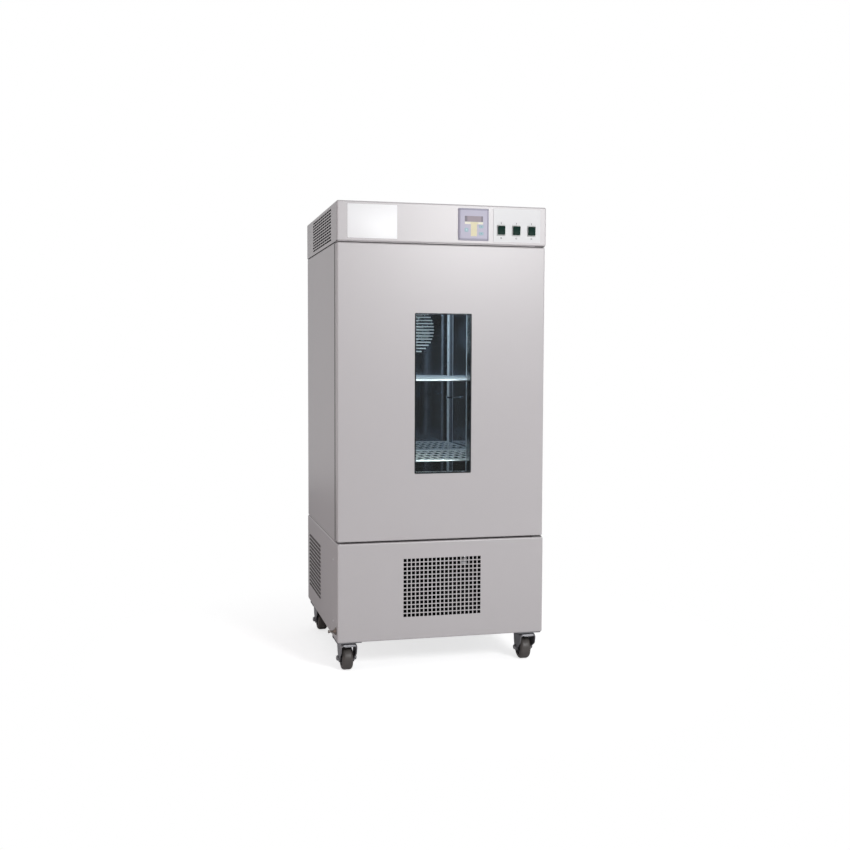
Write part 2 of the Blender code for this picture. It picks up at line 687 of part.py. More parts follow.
def build_duct(stainless, metal, plastic, copper, heater_finish):
    """The duct panel with its round fan guard, the circulation fan and motor, cooling coil and heater."""
    panel = make_plate("duct_panel", 0, (CHAMBER_BOTTOM + CHAMBER_TOP) / 2, CHAMBER_WIDTH - 2 * FIT,
                       CHAMBER_TOP - CHAMBER_BOTTOM - 2 * FIT, PANEL_Y, LINER_SHEET, CHAMBER_RADIUS,
                       stainless)
    rows = []
    for row in range(GUARD_ROWS):
        up = (row - (GUARD_ROWS - 1) / 2) * GUARD_PITCH
        reach = math.sqrt(GUARD_RADIUS ** 2 - (abs(up) + GUARD_SLOT / 2) ** 2)
        rows.append((FAN_HEIGHT + up, reach, GUARD_SLOT, 0.0))
    for slot in range(INTAKE_SLOTS):
        across = (slot - (INTAKE_SLOTS - 1) / 2) * INTAKE_PITCH
        rows.append((CHAMBER_BOTTOM + INTAKE_RISE, INTAKE_LENGTH / 2, INTAKE_SLOT_HEIGHT, across))
    for number, (height, reach, tall, across) in enumerate(rows):
        cut_block(panel, f"duct_slot_{number}", (across - reach, across + reach),
                  (PANEL_Y - LINER_SHEET, PANEL_Y + 2 * LINER_SHEET),
                  (height - tall / 2, height + tall / 2))

    fan_y = PANEL_Y + LINER_SHEET + FAN_GUARD_GAP
    build_fan("circulation_fan", place(0, fan_y, FAN_HEIGHT), (0, 1, 0), 1.0, plastic)
    motor_front = fan_y + FAN_HUB_LENGTH + FAN_SHAFT_LENGTH / 2
    build_motor("circulation_motor", place(0, motor_front, FAN_HEIGHT), (0, 1, 0),
                CHAMBER_BACK - FIT - motor_front, metal)

    coil_y = PANEL_Y + DUCT_DEPTH / 2
    coil_bottom = CHAMBER_BOTTOM + EVAPORATOR_RISE
    coil = []
    for run in range(EVAPORATOR_RUNS):
        height = coil_bottom + run * EVAPORATOR_PITCH
        side = 1 if run % 2 == 0 else -1
        coil.append(place(-side * EVAPORATOR_HALF_WIDTH, coil_y, height))
        coil.append(place(side * EVAPORATOR_HALF_WIDTH, coil_y, height))
        if run + 1 < EVAPORATOR_RUNS:
            radius = EVAPORATOR_PITCH / 2
            bend = arc((EVAPORATOR_HALF_WIDTH, height + radius), radius, -45, 45, 2)
            coil += [place(side * across, coil_y, up) for across, up in bend]
    evaporator = make_tube("evaporator_coil", coil, EVAPORATOR_TUBE_RADIUS, copper)
    coil_top = coil_bottom + (EVAPORATOR_RUNS - 1) * EVAPORATOR_PITCH
    for side in (-1, 1):
        x = side * (EVAPORATOR_HALF_WIDTH - COIL_BRACKET_INSET)
        bracket_x = (x - COIL_BRACKET_WIDTH / 2, x + COIL_BRACKET_WIDTH / 2)
        bracket_z = (coil_bottom - COIL_BRACKET_MARGIN, coil_top + COIL_BRACKET_MARGIN)
        join(evaporator, make_block(f"coil_bracket_{side}", bracket_x, (coil_y, CHAMBER_BACK - FIT),
                                    bracket_z, guide=True))

    low = CHAMBER_BOTTOM + HEATER_LIFT
    high = low + HEATER_RISE
    bend = 2 * HEATER_TUBE_RADIUS
    loop = [place(-HEATER_HALF_WIDTH, CHAMBER_BACK - FIT, low),
            place(-HEATER_HALF_WIDTH, coil_y + bend, low),
            place(-HEATER_HALF_WIDTH + bend, coil_y, low),
            place(HEATER_HALF_WIDTH, coil_y, low)]
    end = arc((HEATER_HALF_WIDTH, low + HEATER_RISE / 2), HEATER_RISE / 2, -45, 45, 2)
    loop += [place(across, coil_y, up) for across, up in end]
    loop += [place(HEATER_HALF_WIDTH, coil_y, high),
             place(-HEATER_HALF_WIDTH + bend, coil_y, high),
             place(-HEATER_HALF_WIDTH, coil_y + bend, high),
             place(-HEATER_HALF_WIDTH, CHAMBER_BACK - FIT, high)]
    make_tube("air_heater", loop, HEATER_TUBE_RADIUS, heater_finish)


def blade_mesh(name, radius, hub_radius):
    """One fan blade: a twisted, swept sheet from inside the hub to the tip, wider in the middle."""
    bm = bmesh.new()
    spans, chords = 2, 2
    root = hub_radius * (1 - FAN_NOSE)
    grid = []
    for i in range(spans + 1):
        share = i / spans
        distance = root + share * (radius - root)
        chord = radius * (FAN_BLADE_CHORD + FAN_BLADE_BELLY * math.sin(math.pi * share))
        twist = FAN_BLADE_ROOT_TWIST + share * (FAN_BLADE_TIP_TWIST - FAN_BLADE_ROOT_TWIST)
        pitch = FAN_BLADE_PITCH * twist
        sweep = FAN_BLADE_SWEEP * share
        row = []
        for j in range(chords + 1):
            along = (j / chords - 0.5) * chord
            angle = sweep + along * math.cos(pitch) / max(distance, hub_radius)
            lift = along * math.sin(pitch)
            row.append(bm.verts.new((distance * math.cos(angle), distance * math.sin(angle), lift)))
        grid.append(row)
    for i in range(spans):
        for j in range(chords):
            bm.faces.new((grid[i][j], grid[i + 1][j], grid[i + 1][j + 1], grid[i][j + 1]))
    bmesh.ops.recalc_face_normals(bm, faces=bm.faces)
    return mesh_from(bm, name)


def build_fan(name, location, axis, scale, finish):
    """Hub, shaft and pitched blades in one moulding, its origin at the hub's front on the axis."""
    radius, hub = FAN_RADIUS * scale, FAN_HUB_RADIUS * scale
    length, shaft = FAN_HUB_LENGTH * scale, FAN_SHAFT_RADIUS
    shaft_end = length + FAN_SHAFT_LENGTH
    profile = [(0.0, shaft_end), (shaft, shaft_end), (shaft, length), (hub, length),
               (hub, hub * FAN_NOSE), (hub * (1 - FAN_NOSE), 0.0), (0.0, 0.0)]
    fan = make_turned(name, profile, location, axis, finish, steps=10)
    turned = fan.rotation_euler.to_matrix().to_4x4()
    middle = Matrix.Translation(location) @ turned @ Matrix.Translation((0, 0, length / 2))
    for blade in range(FAN_BLADES):
        piece = add_object(f"{name}_blade_{blade}", blade_mesh(f"{name}_blade", radius, hub), None,
                           guide=True)
        walls = piece.modifiers.new("thickness", "SOLIDIFY")
        walls.thickness = FAN_BLADE_THICKNESS
        walls.offset = 0.0
        piece.matrix_world = middle @ Matrix.Rotation(2 * math.pi * blade / FAN_BLADES, 4, "Z")
        join(fan, piece)
    return fan


def build_motor(name, location, axis, length, finish):
    """A small motor whose front boss takes the fan's shaft, its origin at the boss's front on the axis."""
    bore = FAN_SHAFT_RADIUS + FIT
    depth = FAN_SHAFT_LENGTH / 2 + FIT
    profile = [(0.0, length), (MOTOR_RADIUS, length), (MOTOR_RADIUS, MOTOR_BOSS_LENGTH + MOTOR_CHAMFER),
               (MOTOR_RADIUS - MOTOR_CHAMFER, MOTOR_BOSS_LENGTH), (MOTOR_BOSS_RADIUS, MOTOR_BOSS_LENGTH),
               (MOTOR_BOSS_RADIUS, 0.0), (bore, 0.0), (bore, depth), (0.0, depth)]
    return make_turned(name, profile, location, axis, finish, steps=14)


def build_upright(name, side, centre_y, levels, stainless):
    """One notched upright on a side wall, with the hooks that carry the shelves grown onto it."""
    wall_x = CHAMBER_WIDTH / 2 - FIT
    bottom, top = CHAMBER_BOTTOM + UPRIGHT_MARGIN, CHAMBER_TOP - UPRIGHT_MARGIN
    face = side * (wall_x - UPRIGHT_DEPTH)
    upright = make_sheet_box(name, sorted((side * wall_x, face)),
                             (centre_y - UPRIGHT_WIDTH / 2, centre_y + UPRIGHT_WIDTH / 2), (bottom, top),
                             ["-X" if side < 0 else "+X"], stainless, wall=LINER_SHEET, radius=0.0)
    first_notch = bottom + FIRST_NOTCH_RISE
    notch_x = sorted((face + side * 2 * LINER_SHEET, face - side * LINER_SHEET))
    notch = make_block(name + "_notches", notch_x, (centre_y - NOTCH_WIDTH / 2, centre_y + NOTCH_WIDTH / 2),
                       (first_notch - NOTCH_HEIGHT / 2, first_notch + NOTCH_HEIGHT / 2), guide=True)
    add_array(notch, NOTCH_COUNT, (0, 0, NOTCH_PITCH))
    cut(upright, notch)
    hook_x = sorted((face + side * LINER_SHEET / 2, face - side * HOOK_REACH))
    hook_y = (centre_y - NOTCH_WIDTH / 2 - LINER_SHEET, centre_y + NOTCH_WIDTH / 2 + LINER_SHEET)
    for number, height in enumerate(levels):
        notch_bottom = height - NOTCH_HEIGHT / 2
        join(upright, make_block(f"{name}_hook_{number}", hook_x, hook_y,
                                 (notch_bottom - HOOK_HEIGHT, notch_bottom - LINER_SHEET), guide=True))


def build_shelf(name, half, y, underside, stainless):
    """One shelf: a rim with rods from front to back at even pitch."""
    shelf = make_block(name, (-half, half), y, (underside, underside + SHELF_THICKNESS), stainless)
    span = 2 * half - 2 * SHELF_RIM + SHELF_ROD
    count = int(span / SHELF_ROD_PITCH)
    pitch = span / count
    gap = make_block(name + "_gaps", (-half + SHELF_RIM, -half + SHELF_RIM + pitch - SHELF_ROD),
                     (y[0] + SHELF_RIM, y[1] - SHELF_RIM),
                     (underside - SHELF_THICKNESS, underside + 2 * SHELF_THICKNESS), guide=True)
    add_array(gap, count, (pitch, 0, 0))
    cut(shelf, gap)


def build_shelving(stainless):
    """Four notched uprights with the hooks in use, and the two shelves on them."""
    first_notch = CHAMBER_BOTTOM + UPRIGHT_MARGIN + FIRST_NOTCH_RISE
    levels = [first_notch + number * NOTCH_PITCH for number in (LOWER_NOTCH, UPPER_NOTCH)]
    ends = (("front", BODY_FRONT + UPRIGHT_FRONT_SETBACK), ("back", PANEL_Y - UPRIGHT_BACK_SETBACK))
    for side, hand in ((-1, "left"), (1, "right")):
        for end, centre_y in ends:
            build_upright(f"shelf_upright_{hand}_{end}", side, centre_y, levels, stainless)
    half = CHAMBER_WIDTH / 2 - FIT - UPRIGHT_DEPTH - SHELF_SIDE_CLEARANCE
    shelf_y = (BODY_FRONT + SHELF_FRONT_SETBACK, PANEL_Y - SHELF_BACK_CLEARANCE)
    for name, height in zip(("lower_shelf", "upper_shelf"), levels):
        build_shelf(name, half, shelf_y, height - NOTCH_HEIGHT / 2 - LINER_SHEET + FIT, stainless)


def build_probe(stainless):
    """The temperature probe on the right wall of the chamber."""
    at = place(CHAMBER_WIDTH / 2 - FIT, BODY_FRONT + PROBE_SETBACK, CHAMBER_BOTTOM + PROBE_RISE)
    profile = [(0.0, PROBE_LENGTH), (PROBE_TIP_RADIUS, PROBE_LENGTH),
               (PROBE_RADIUS, PROBE_LENGTH - PROBE_RADIUS),
               (PROBE_RADIUS, PROBE_NUT_LENGTH + PROBE_NUT_CHAMFER), (PROBE_NUT_RADIUS, PROBE_NUT_LENGTH),
               (PROBE_NUT_RADIUS, 0.0), (0.0, 0.0)]
    make_turned("temperature_probe", profile, at, (-1, 0, 0), stainless, steps=10)


def build_door(paint, foam, glass_finish, rubber, frame_finish, hinge_finish):
    """The door: painted skin, inner panel, foam, window frame, two panes, gasket and pivot hinges."""
    skin = make_sheet_box("door_skin", (DOOR_LEFT, DOOR_RIGHT), (0, DOOR_SKIN_DEPTH),
                          (DOOR_BOTTOM, DOOR_TOP), ["+Y"], paint)
    inner = make_sheet_box("door_inner_panel", (DOOR_LEFT, DOOR_RIGHT),
                           (DOOR_SKIN_DEPTH + FIT, DOOR_THICKNESS), (DOOR_BOTTOM, DOOR_TOP), ["-Y"], paint)
    inset = SHEET + FIT
    block = make_block("door_insulation", (DOOR_LEFT + inset, DOOR_RIGHT - inset),
                       (inset, DOOR_THICKNESS - inset), (DOOR_BOTTOM + inset, DOOR_TOP - inset), foam,
                       radius=EDGE_RADIUS)
    build_window((skin, inner, block), glass_finish, frame_finish)

    seal_y = (DOOR_THICKNESS + FIT, BODY_FRONT - FIT)
    seal_x = (DOOR_LEFT + GASKET_INSET, DOOR_RIGHT - GASKET_INSET)
    seal_z = (DOOR_BOTTOM + GASKET_INSET, DOOR_TOP - GASKET_INSET)
    gasket = make_block("door_gasket", seal_x, seal_y, seal_z, rubber, radius=GASKET_RADIUS)
    cut_block(gasket, "gasket_middle", (seal_x[0] + GASKET_WIDTH, seal_x[1] - GASKET_WIDTH),
              (seal_y[0] - SHEET, seal_y[1] + SHEET), (seal_z[0] + GASKET_WIDTH, seal_z[1] - GASKET_WIDTH))
    build_hinge("bottom_hinge", BASE_HEIGHT + FIT, DOOR_BOTTOM, 1, (skin, block), hinge_finish)
    build_hinge("top_hinge", CONTROL_BOTTOM - FIT, DOOR_TOP, -1, (skin, block), hinge_finish)


def build_window(pierced, glass_finish, frame_finish):
    """The window: its hole through the pierced pieces, a frame with a front lip, and two panes."""
    middle = DOOR_BOTTOM + WINDOW_RISE + WINDOW_HEIGHT / 2
    through = (-SHEET, DOOR_THICKNESS + 2 * SHEET)
    hole = make_plate("window_hole", 0, middle, WINDOW_WIDTH, WINDOW_HEIGHT, *through, WINDOW_RADIUS,
                      guide=True)
    for piece in pierced:
        cut(piece, hole)
    width, height = WINDOW_WIDTH - 2 * FIT, WINDOW_HEIGHT - 2 * FIT
    frame = make_plate("window_frame", 0, middle, width, height, FIT, DOOR_THICKNESS - 2 * FIT,
                       WINDOW_RADIUS - FIT, frame_finish)
    width, height = width - 2 * WINDOW_FRAME_WALL, height - 2 * WINDOW_FRAME_WALL
    cut(frame, make_plate("window_light", 0, middle, width - 2 * WINDOW_LIP, height - 2 * WINDOW_LIP,
                          *through, WINDOW_LIP, guide=True))
    cut(frame, make_plate("window_rebate", 0, middle, width, height, WINDOW_LIP_DEPTH, DOOR_THICKNESS,
                          WINDOW_LIP, guide=True))
    outer_y = WINDOW_LIP_DEPTH + FIT
    for name, front in (("outer_pane", outer_y), ("inner_pane", outer_y + GLASS_SPACING)):
        make_plate(name, 0, middle, width - 2 * FIT, height - 2 * FIT, front, GLASS, WINDOW_LIP,
                   glass_finish)


def build_hinge(name, seat, face, up, bored, finish):
    """A pivot hinge: a leaf on the cabinet, and a washer and pin that point into the door's edge.

    seat is the leaf's fixed face, face is the door's edge, and bored are the pieces that take the pin.
    """
    leaf = make_block(name, (HINGE_X - HINGE_LEAF_WIDTH / 2, HINGE_X + HINGE_LEAF_WIDTH / 2),
                      (HINGE_LEAF_FRONT, BODY_FRONT - FIT), sorted((seat, seat + up * HINGE_LEAF)), finish)
    rise = abs(face - seat)
    tip = rise + HINGE_PIN_LENGTH
    pin = [(0.0, tip), (HINGE_PIN_RADIUS, tip), (HINGE_PIN_RADIUS, rise - FIT),
           (HINGE_WASHER_RADIUS, rise - FIT), (HINGE_WASHER_RADIUS, HINGE_LEAF / 2), (0.0, HINGE_LEAF / 2)]
    at = place(HINGE_X, HINGE_Y, seat)
    join(leaf, make_turned(name + "_pin", pin, at, (0, 0, up), steps=12, guide=True))
    hole = make_rod(name + "_hole", HINGE_PIN_RADIUS + HINGE_PIN_CLEARANCE, -FIT, tip + FIT, at, (0, 0, up),
                    steps=12)
    for piece in bored:
        cut(piece, hole)


def build_control_box(paint, plate_finish):
    """The control box: front panel, vented cover and switch plate."""
    panel = make_sheet_box("control_panel", (-HALF_WIDTH, HALF_WIDTH), (0, FRONT_RETURN),
                           (CONTROL_BOTTOM, CABINET_HEIGHT), ["+Y"], paint)
    cover = make_sheet_box("control_cover", (-HALF_WIDTH, HALF_WIDTH), (FRONT_RETURN + SEAM, DEPTH),
                           (CONTROL_BOTTOM, CABINET_HEIGHT), ["-Y", "-Z"], paint)
    for first, shift in ((0, 0.0), (1, VENT_STAGGER)):
        middle = CONTROL_MIDDLE + (first - (VENT_ROWS - 1) / 2) * VENT_PITCH
        vents = make_block(f"vents_{first}", (-WIDTH, WIDTH),
                           (VENT_FRONT + shift, VENT_FRONT + shift + VENT_SLOT_LENGTH),
                           (middle - VENT_SLOT_HEIGHT / 2, middle + VENT_SLOT_HEIGHT / 2), guide=True)
        add_array(vents, VENT_COLUMNS, (0, VENT_COLUMN_PITCH, 0))
        add_array(vents, (VENT_ROWS + 1 - first) // 2, (0, 0, 2 * VENT_PITCH))
        cut(cover, vents)

    switch_plate = make_plate("switch_plate", SWITCH_PLATE_X, CONTROL_MIDDLE, PLATE_WIDTH, PLATE_HEIGHT,
                              SWITCH_PLATE_FRONT, PLATE_THICKNESS, PLATE_RADIUS, plate_finish)
    half_width, half_height = SWITCH_BODY_WIDTH / 2 + FIT, SWITCH_BODY_HEIGHT / 2 + FIT
    for number, (x, z) in enumerate(switch_places()):
        opening = make_block(f"switch_opening_{number}", (x - half_width, x + half_width),
                             (SWITCH_PLATE_FRONT - SHEET, 2 * SHEET),
                             (z - half_height, z + half_height), guide=True)
        cut(panel, opening)
        cut(switch_plate, opening)
    half = CONTROLLER_CASE / 2 + FIT
    cut_block(panel, "controller_opening", (CONTROLLER_X - half, CONTROLLER_X + half), (-SHEET, 2 * SHEET),
              (CONTROL_MIDDLE - half, CONTROL_MIDDLE + half))


def build_controller(case_finish, key_finish):
    """The temperature controller: one case with its face, display recess and three keys."""
    front = -CONTROLLER_PROUD - FIT
    face = make_plate("controller", CONTROLLER_X, CONTROL_MIDDLE, CONTROLLER_FACE, CONTROLLER_FACE, front,
                      CONTROLLER_PROUD, CONTROLLER_RADIUS, case_finish)
    half = CONTROLLER_CASE / 2
    join(face, make_block("controller_case", (CONTROLLER_X - half, CONTROLLER_X + half),
                          (-CONTROLLER_PROUD / 2, CONTROLLER_CASE_DEPTH),
                          (CONTROL_MIDDLE - half, CONTROL_MIDDLE + half), guide=True))
    display_x, display_z = CONTROLLER_X + DISPLAY_SHIFT, CONTROL_MIDDLE + DISPLAY_RISE
    cut_block(face, "display_recess", (display_x - DISPLAY_WIDTH / 2, display_x + DISPLAY_WIDTH / 2),
              (front - DISPLAY_RECESS, front + DISPLAY_RECESS),
              (display_z - DISPLAY_HEIGHT / 2, display_z + DISPLAY_HEIGHT / 2))
    left, right = CONTROLLER_X - KEY_SPREAD, CONTROLLER_X + KEY_SPREAD
    keys = (("controller_key_set", left, SET_KEY_DROP, SET_KEY_WIDTH, SET_KEY_HEIGHT),
            ("controller_key_up", right, UP_KEY_DROP, STEP_KEY_WIDTH, STEP_KEY_HEIGHT),
            ("controller_key_down", right, DOWN_KEY_DROP, STEP_KEY_WIDTH, STEP_KEY_HEIGHT))
    for name, x, drop, width, height in keys:
        z = CONTROL_MIDDLE - drop
        back = front + KEY_DEPTH - KEY_PROUD
        cut_block(face, name + "_pocket", (x - width / 2 - FIT, x + width / 2 + FIT),
                  (front - SHEET, back + KEY_TRAVEL + FIT), (z - height / 2 - FIT, z + height / 2 + FIT))
        make_plate(name, x, z, width, height, front - KEY_PROUD, KEY_DEPTH, KEY_RADIUS, key_finish)


def switch_places():
    """Middle of each switch as (x, z), from left to right."""
    middle = SWITCH_PLATE_X - SWITCH_SHIFT
    first = middle - (SWITCHES - 1) * SWITCH_PITCH / 2
    return [(first + number * SWITCH_PITCH, CONTROL_MIDDLE - SWITCH_DROP) for number in range(SWITCHES)]


def build_switches(bezel_finish, rocker_finish):
    """Three rocker switches, each with its housing and its rocker."""
    for number, (x, z) in enumerate(switch_places(), start=1):
        build_switch_housing(number, x, z, bezel_finish)
        build_rocker(number, x, z, rocker_finish)


def build_switch_housing(number, x, z, finish):
    """A switch housing: bezel, body with the rocker's well and pivot holes, and three terminals."""
    housing = make_plate(f"switch_housing_{number}", x, z, BEZEL_WIDTH, BEZEL_HEIGHT, BEZEL_FRONT,
                         BEZEL_THICKNESS, BEZEL_RADIUS, finish)
    half_width, half_height = SWITCH_BODY_WIDTH / 2, SWITCH_BODY_HEIGHT / 2
    join(housing, make_block(f"switch_body_{number}", (x - half_width, x + half_width),
                             (BEZEL_FRONT + BEZEL_THICKNESS / 2, SWITCH_BODY_DEPTH),
                             (z - half_height, z + half_height), guide=True))
    swept = ROCKER_HALF_HEIGHT * math.cos(ROCKER_TILT) + ROCKER_CROWN * math.sin(ROCKER_TILT)
    well_half = swept + ROCKER_END_CLEARANCE
    well_depth = ROCKER_HALF_HEIGHT * math.sin(ROCKER_TILT) + ROCKER_SKIRT + ROCKER_END_CLEARANCE
    cut_block(housing, f"switch_well_{number}", (x - WELL_HALF_WIDTH, x + WELL_HALF_WIDTH),
              (BEZEL_FRONT - SHEET, ROCKER_PIVOT_Y + well_depth), (z - well_half, z + well_half))
    tab_x = (x - TERMINAL_WIDTH / 2, x + TERMINAL_WIDTH / 2)
    tab_y = (SWITCH_BODY_DEPTH - SHEET, SWITCH_BODY_DEPTH + TERMINAL_LENGTH)
    for row in (-1, 0, 1):
        tab = z + row * TERMINAL_PITCH
        join(housing, make_block(f"terminal_{number}_{row}", tab_x, tab_y,
                                 (tab - TERMINAL_THICKNESS / 2, tab + TERMINAL_THICKNESS / 2), guide=True))
    reach = WELL_HALF_WIDTH + 2 * FIT
    cut(housing, make_rod(f"pivot_holes_{number}", ROCKER_PIN_RADIUS + FIT, -reach, reach,
                          place(x, ROCKER_PIVOT_Y, z), (1, 0, 0), steps=8))


def build_rocker(number, x, z, finish):
    """A dished rocker with its pin. Its origin is on the pivot, and at rest its lower end is pressed."""
    pivot = place(x, ROCKER_PIVOT_Y, z)
    front = [(ROCKER_CROWN - ROCKER_DISH * (1 - share ** 2), share * ROCKER_HALF_HEIGHT)
             for share in (1, 0.5, 0, -0.5, -1)]
    back = [(0.0, -ROCKER_HALF_HEIGHT), (-ROCKER_SKIRT, -ROCKER_HALF_HEIGHT / 2),
            (-ROCKER_SKIRT, ROCKER_HALF_HEIGHT / 2), (0.0, ROCKER_HALF_HEIGHT)]
    rocker = make_extruded(f"rocker_{number}", front + back, ROCKER_WIDTH, pivot,
                           ((0, -1, 0), (0, 0, 1), (-1, 0, 0)), finish)
    tilt = Matrix.Rotation(ROCKER_TILT, 3, "X")
    rocker.rotation_euler = (tilt @ rocker.rotation_euler.to_matrix()).to_euler()
    reach = WELL_HALF_WIDTH + FIT
    join(rocker, make_rod(f"rocker_pin_{number}", ROCKER_PIN_RADIUS, -reach, reach, pivot, (1, 0, 0),
                          steps=8))


def build_compressor(black):
    """The compressor: domed shell with its weld seam, foot plate, four rubber feet and terminal box."""
    y = DEPTH - COMPRESSOR_BACK_INSET
    foot_top = MACHINE_FLOOR + COMPRESSOR_FOOT_HEIGHT
    base = foot_top + COMPRESSOR_PLATE
    sink = COMPRESSOR_PLATE / 2
    profile = [(across * COMPRESSOR_RADIUS, up * COMPRESSOR_HEIGHT) for across, up in COMPRESSOR_SHELL]
    profile += [(profile[-1][0], -sink), (0.0, -sink)]
    shell = make_turned("compressor", profile, place(COMPRESSOR_X, y, base), (0, 0, 1), black, steps=16)
    half = COMPRESSOR_PLATE_SIZE / 2
    join(shell, make_block("compressor_plate", (COMPRESSOR_X - half, COMPRESSOR_X + half),
                           (y - half, y + half), (foot_top, base), guide=True))
    reach = half - COMPRESSOR_FOOT_RADIUS - COMPRESSOR_FOOT_MARGIN
    for across in (-1, 1):
        for along in (-1, 1):
            at = place(COMPRESSOR_X + across * reach, y + along * reach, MACHINE_FLOOR)
            join(shell, make_rod(f"compressor_foot_{across}_{along}", COMPRESSOR_FOOT_RADIUS, 0.0,
                                 COMPRESSOR_FOOT_HEIGHT + sink, at, (0, 0, 1), steps=8))
    box_x, box_bottom = COMPRESSOR_X - COMPRESSOR_RADIUS, base + COMPRESSOR_BOX_RISE
    join(shell, make_block("terminal_box", (box_x - COMPRESSOR_BOX_PROUD, box_x + COMPRESSOR_BOX_SUNK),
                           (y - COMPRESSOR_BOX_WIDTH / 2, y + COMPRESSOR_BOX_WIDTH / 2),
                           (box_bottom, box_bottom + COMPRESSOR_BOX_HEIGHT), guide=True))


def build_refrigeration(black, metal, plastic):
    """Compressor, finned condenser behind the left louvres, its shroud with the motor, and its fan."""
    build_compressor(black)
    coil_x = -HALF_WIDTH + SIDE_RETURN + CONDENSER_OFFSET
    back_x = coil_x + CONDENSER_FIN_DEPTH
    core_end = back_x + CONDENSER_CORE
    fins_width = (CONDENSER_FINS - 1) * CONDENSER_FIN_PITCH + CONDENSER_FIN
    first_y = LOUVRE_Y - fins_width / 2
    core_y = (first_y, first_y + fins_width)
    core_z = (MACHINE_FLOOR, MACHINE_FLOOR + CONDENSER_HEIGHT)
    condenser = make_block("condenser", (coil_x, core_end), core_y, core_z, metal)
    gaps = make_block("fin_gaps", (coil_x - SHEET, back_x),
                      (first_y + CONDENSER_FIN, first_y + CONDENSER_FIN_PITCH),
                      (core_z[0] - SHEET, core_z[1] + SHEET), guide=True)
    add_array(gaps, CONDENSER_FINS - 1, (0, CONDENSER_FIN_PITCH, 0))
    cut(condenser, gaps)

    shroud_x = core_end + FIT
    motor_x = build_shroud(shroud_x, core_y, core_z, black)
    hub_front = motor_x - FAN_SHAFT_LENGTH / 2 - FAN_HUB_LENGTH * COOLING_FAN_SCALE
    build_fan("condenser_fan", place(hub_front, sum(core_y) / 2, sum(core_z) / 2), (1, 0, 0),
              COOLING_FAN_SCALE, plastic)


def build_shroud(front, y, z, black):
    """The condenser's shroud, with a cross on four posts that carries the motor. Returns the motor's x."""
    fan_y, fan_z = sum(y) / 2, sum(z) / 2
    depth = FAN_HUB_LENGTH * COOLING_FAN_SCALE + SHROUD_FAN_ROOM
    back = front + depth
    shroud = make_sheet_box("condenser_shroud", (front, back), y, z, ["-X"], black, wall=SHROUD_SHEET,
                            segments=1)
    cut(shroud, make_rod("shroud_hole", SHROUD_HOLE_RADIUS, 0.0, 2 * depth, place(front, fan_y, fan_z),
                         (1, 0, 0), steps=20))
    motor_x = back + SHROUD_MOTOR_GAP
    cross = (motor_x + SHROUD_ARM, motor_x + 2 * SHROUD_ARM)
    long, short = SHROUD_HOLE_RADIUS + SHROUD_ARM, SHROUD_ARM / 2
    for name, wide, tall in (("shroud_arm_up", short, long), ("shroud_arm_across", long, short)):
        join(shroud, make_block(name, cross, (fan_y - wide, fan_y + wide), (fan_z - tall, fan_z + tall),
                                guide=True))
    centre = SHROUD_HOLE_RADIUS + SHROUD_ARM / 2
    half = (SHROUD_ARM - SHROUD_ARM_SHRINK) / 2
    post_x = (back - SHROUD_SHEET / 2, cross[1] - SHROUD_ARM_SHRINK)
    for across, up in ((-1, 0), (1, 0), (0, -1), (0, 1)):
        post_y, post_z = fan_y + across * centre, fan_z + up * centre
        join(shroud, make_block(f"post_{across}_{up}", post_x, (post_y - half, post_y + half),
                                (post_z - half, post_z + half), guide=True))
    at = place(motor_x, fan_y, fan_z)
    body = [(0.0, COOLING_MOTOR_LENGTH), (MOTOR_RADIUS, COOLING_MOTOR_LENGTH),
            (MOTOR_RADIUS, MOTOR_BOSS_LENGTH), (MOTOR_BOSS_RADIUS, MOTOR_BOSS_LENGTH),
            (MOTOR_BOSS_RADIUS, 0.0), (0.0, 0.0)]
    join(shroud, make_turned("cooling_motor_body", body, at, (1, 0, 0), steps=12, guide=True))
    cut(shroud, make_rod("motor_bore", FAN_SHAFT_RADIUS + FIT, -FIT, FAN_SHAFT_LENGTH / 2 + FIT, at,
                         (1, 0, 0), steps=10))
    return motor_x


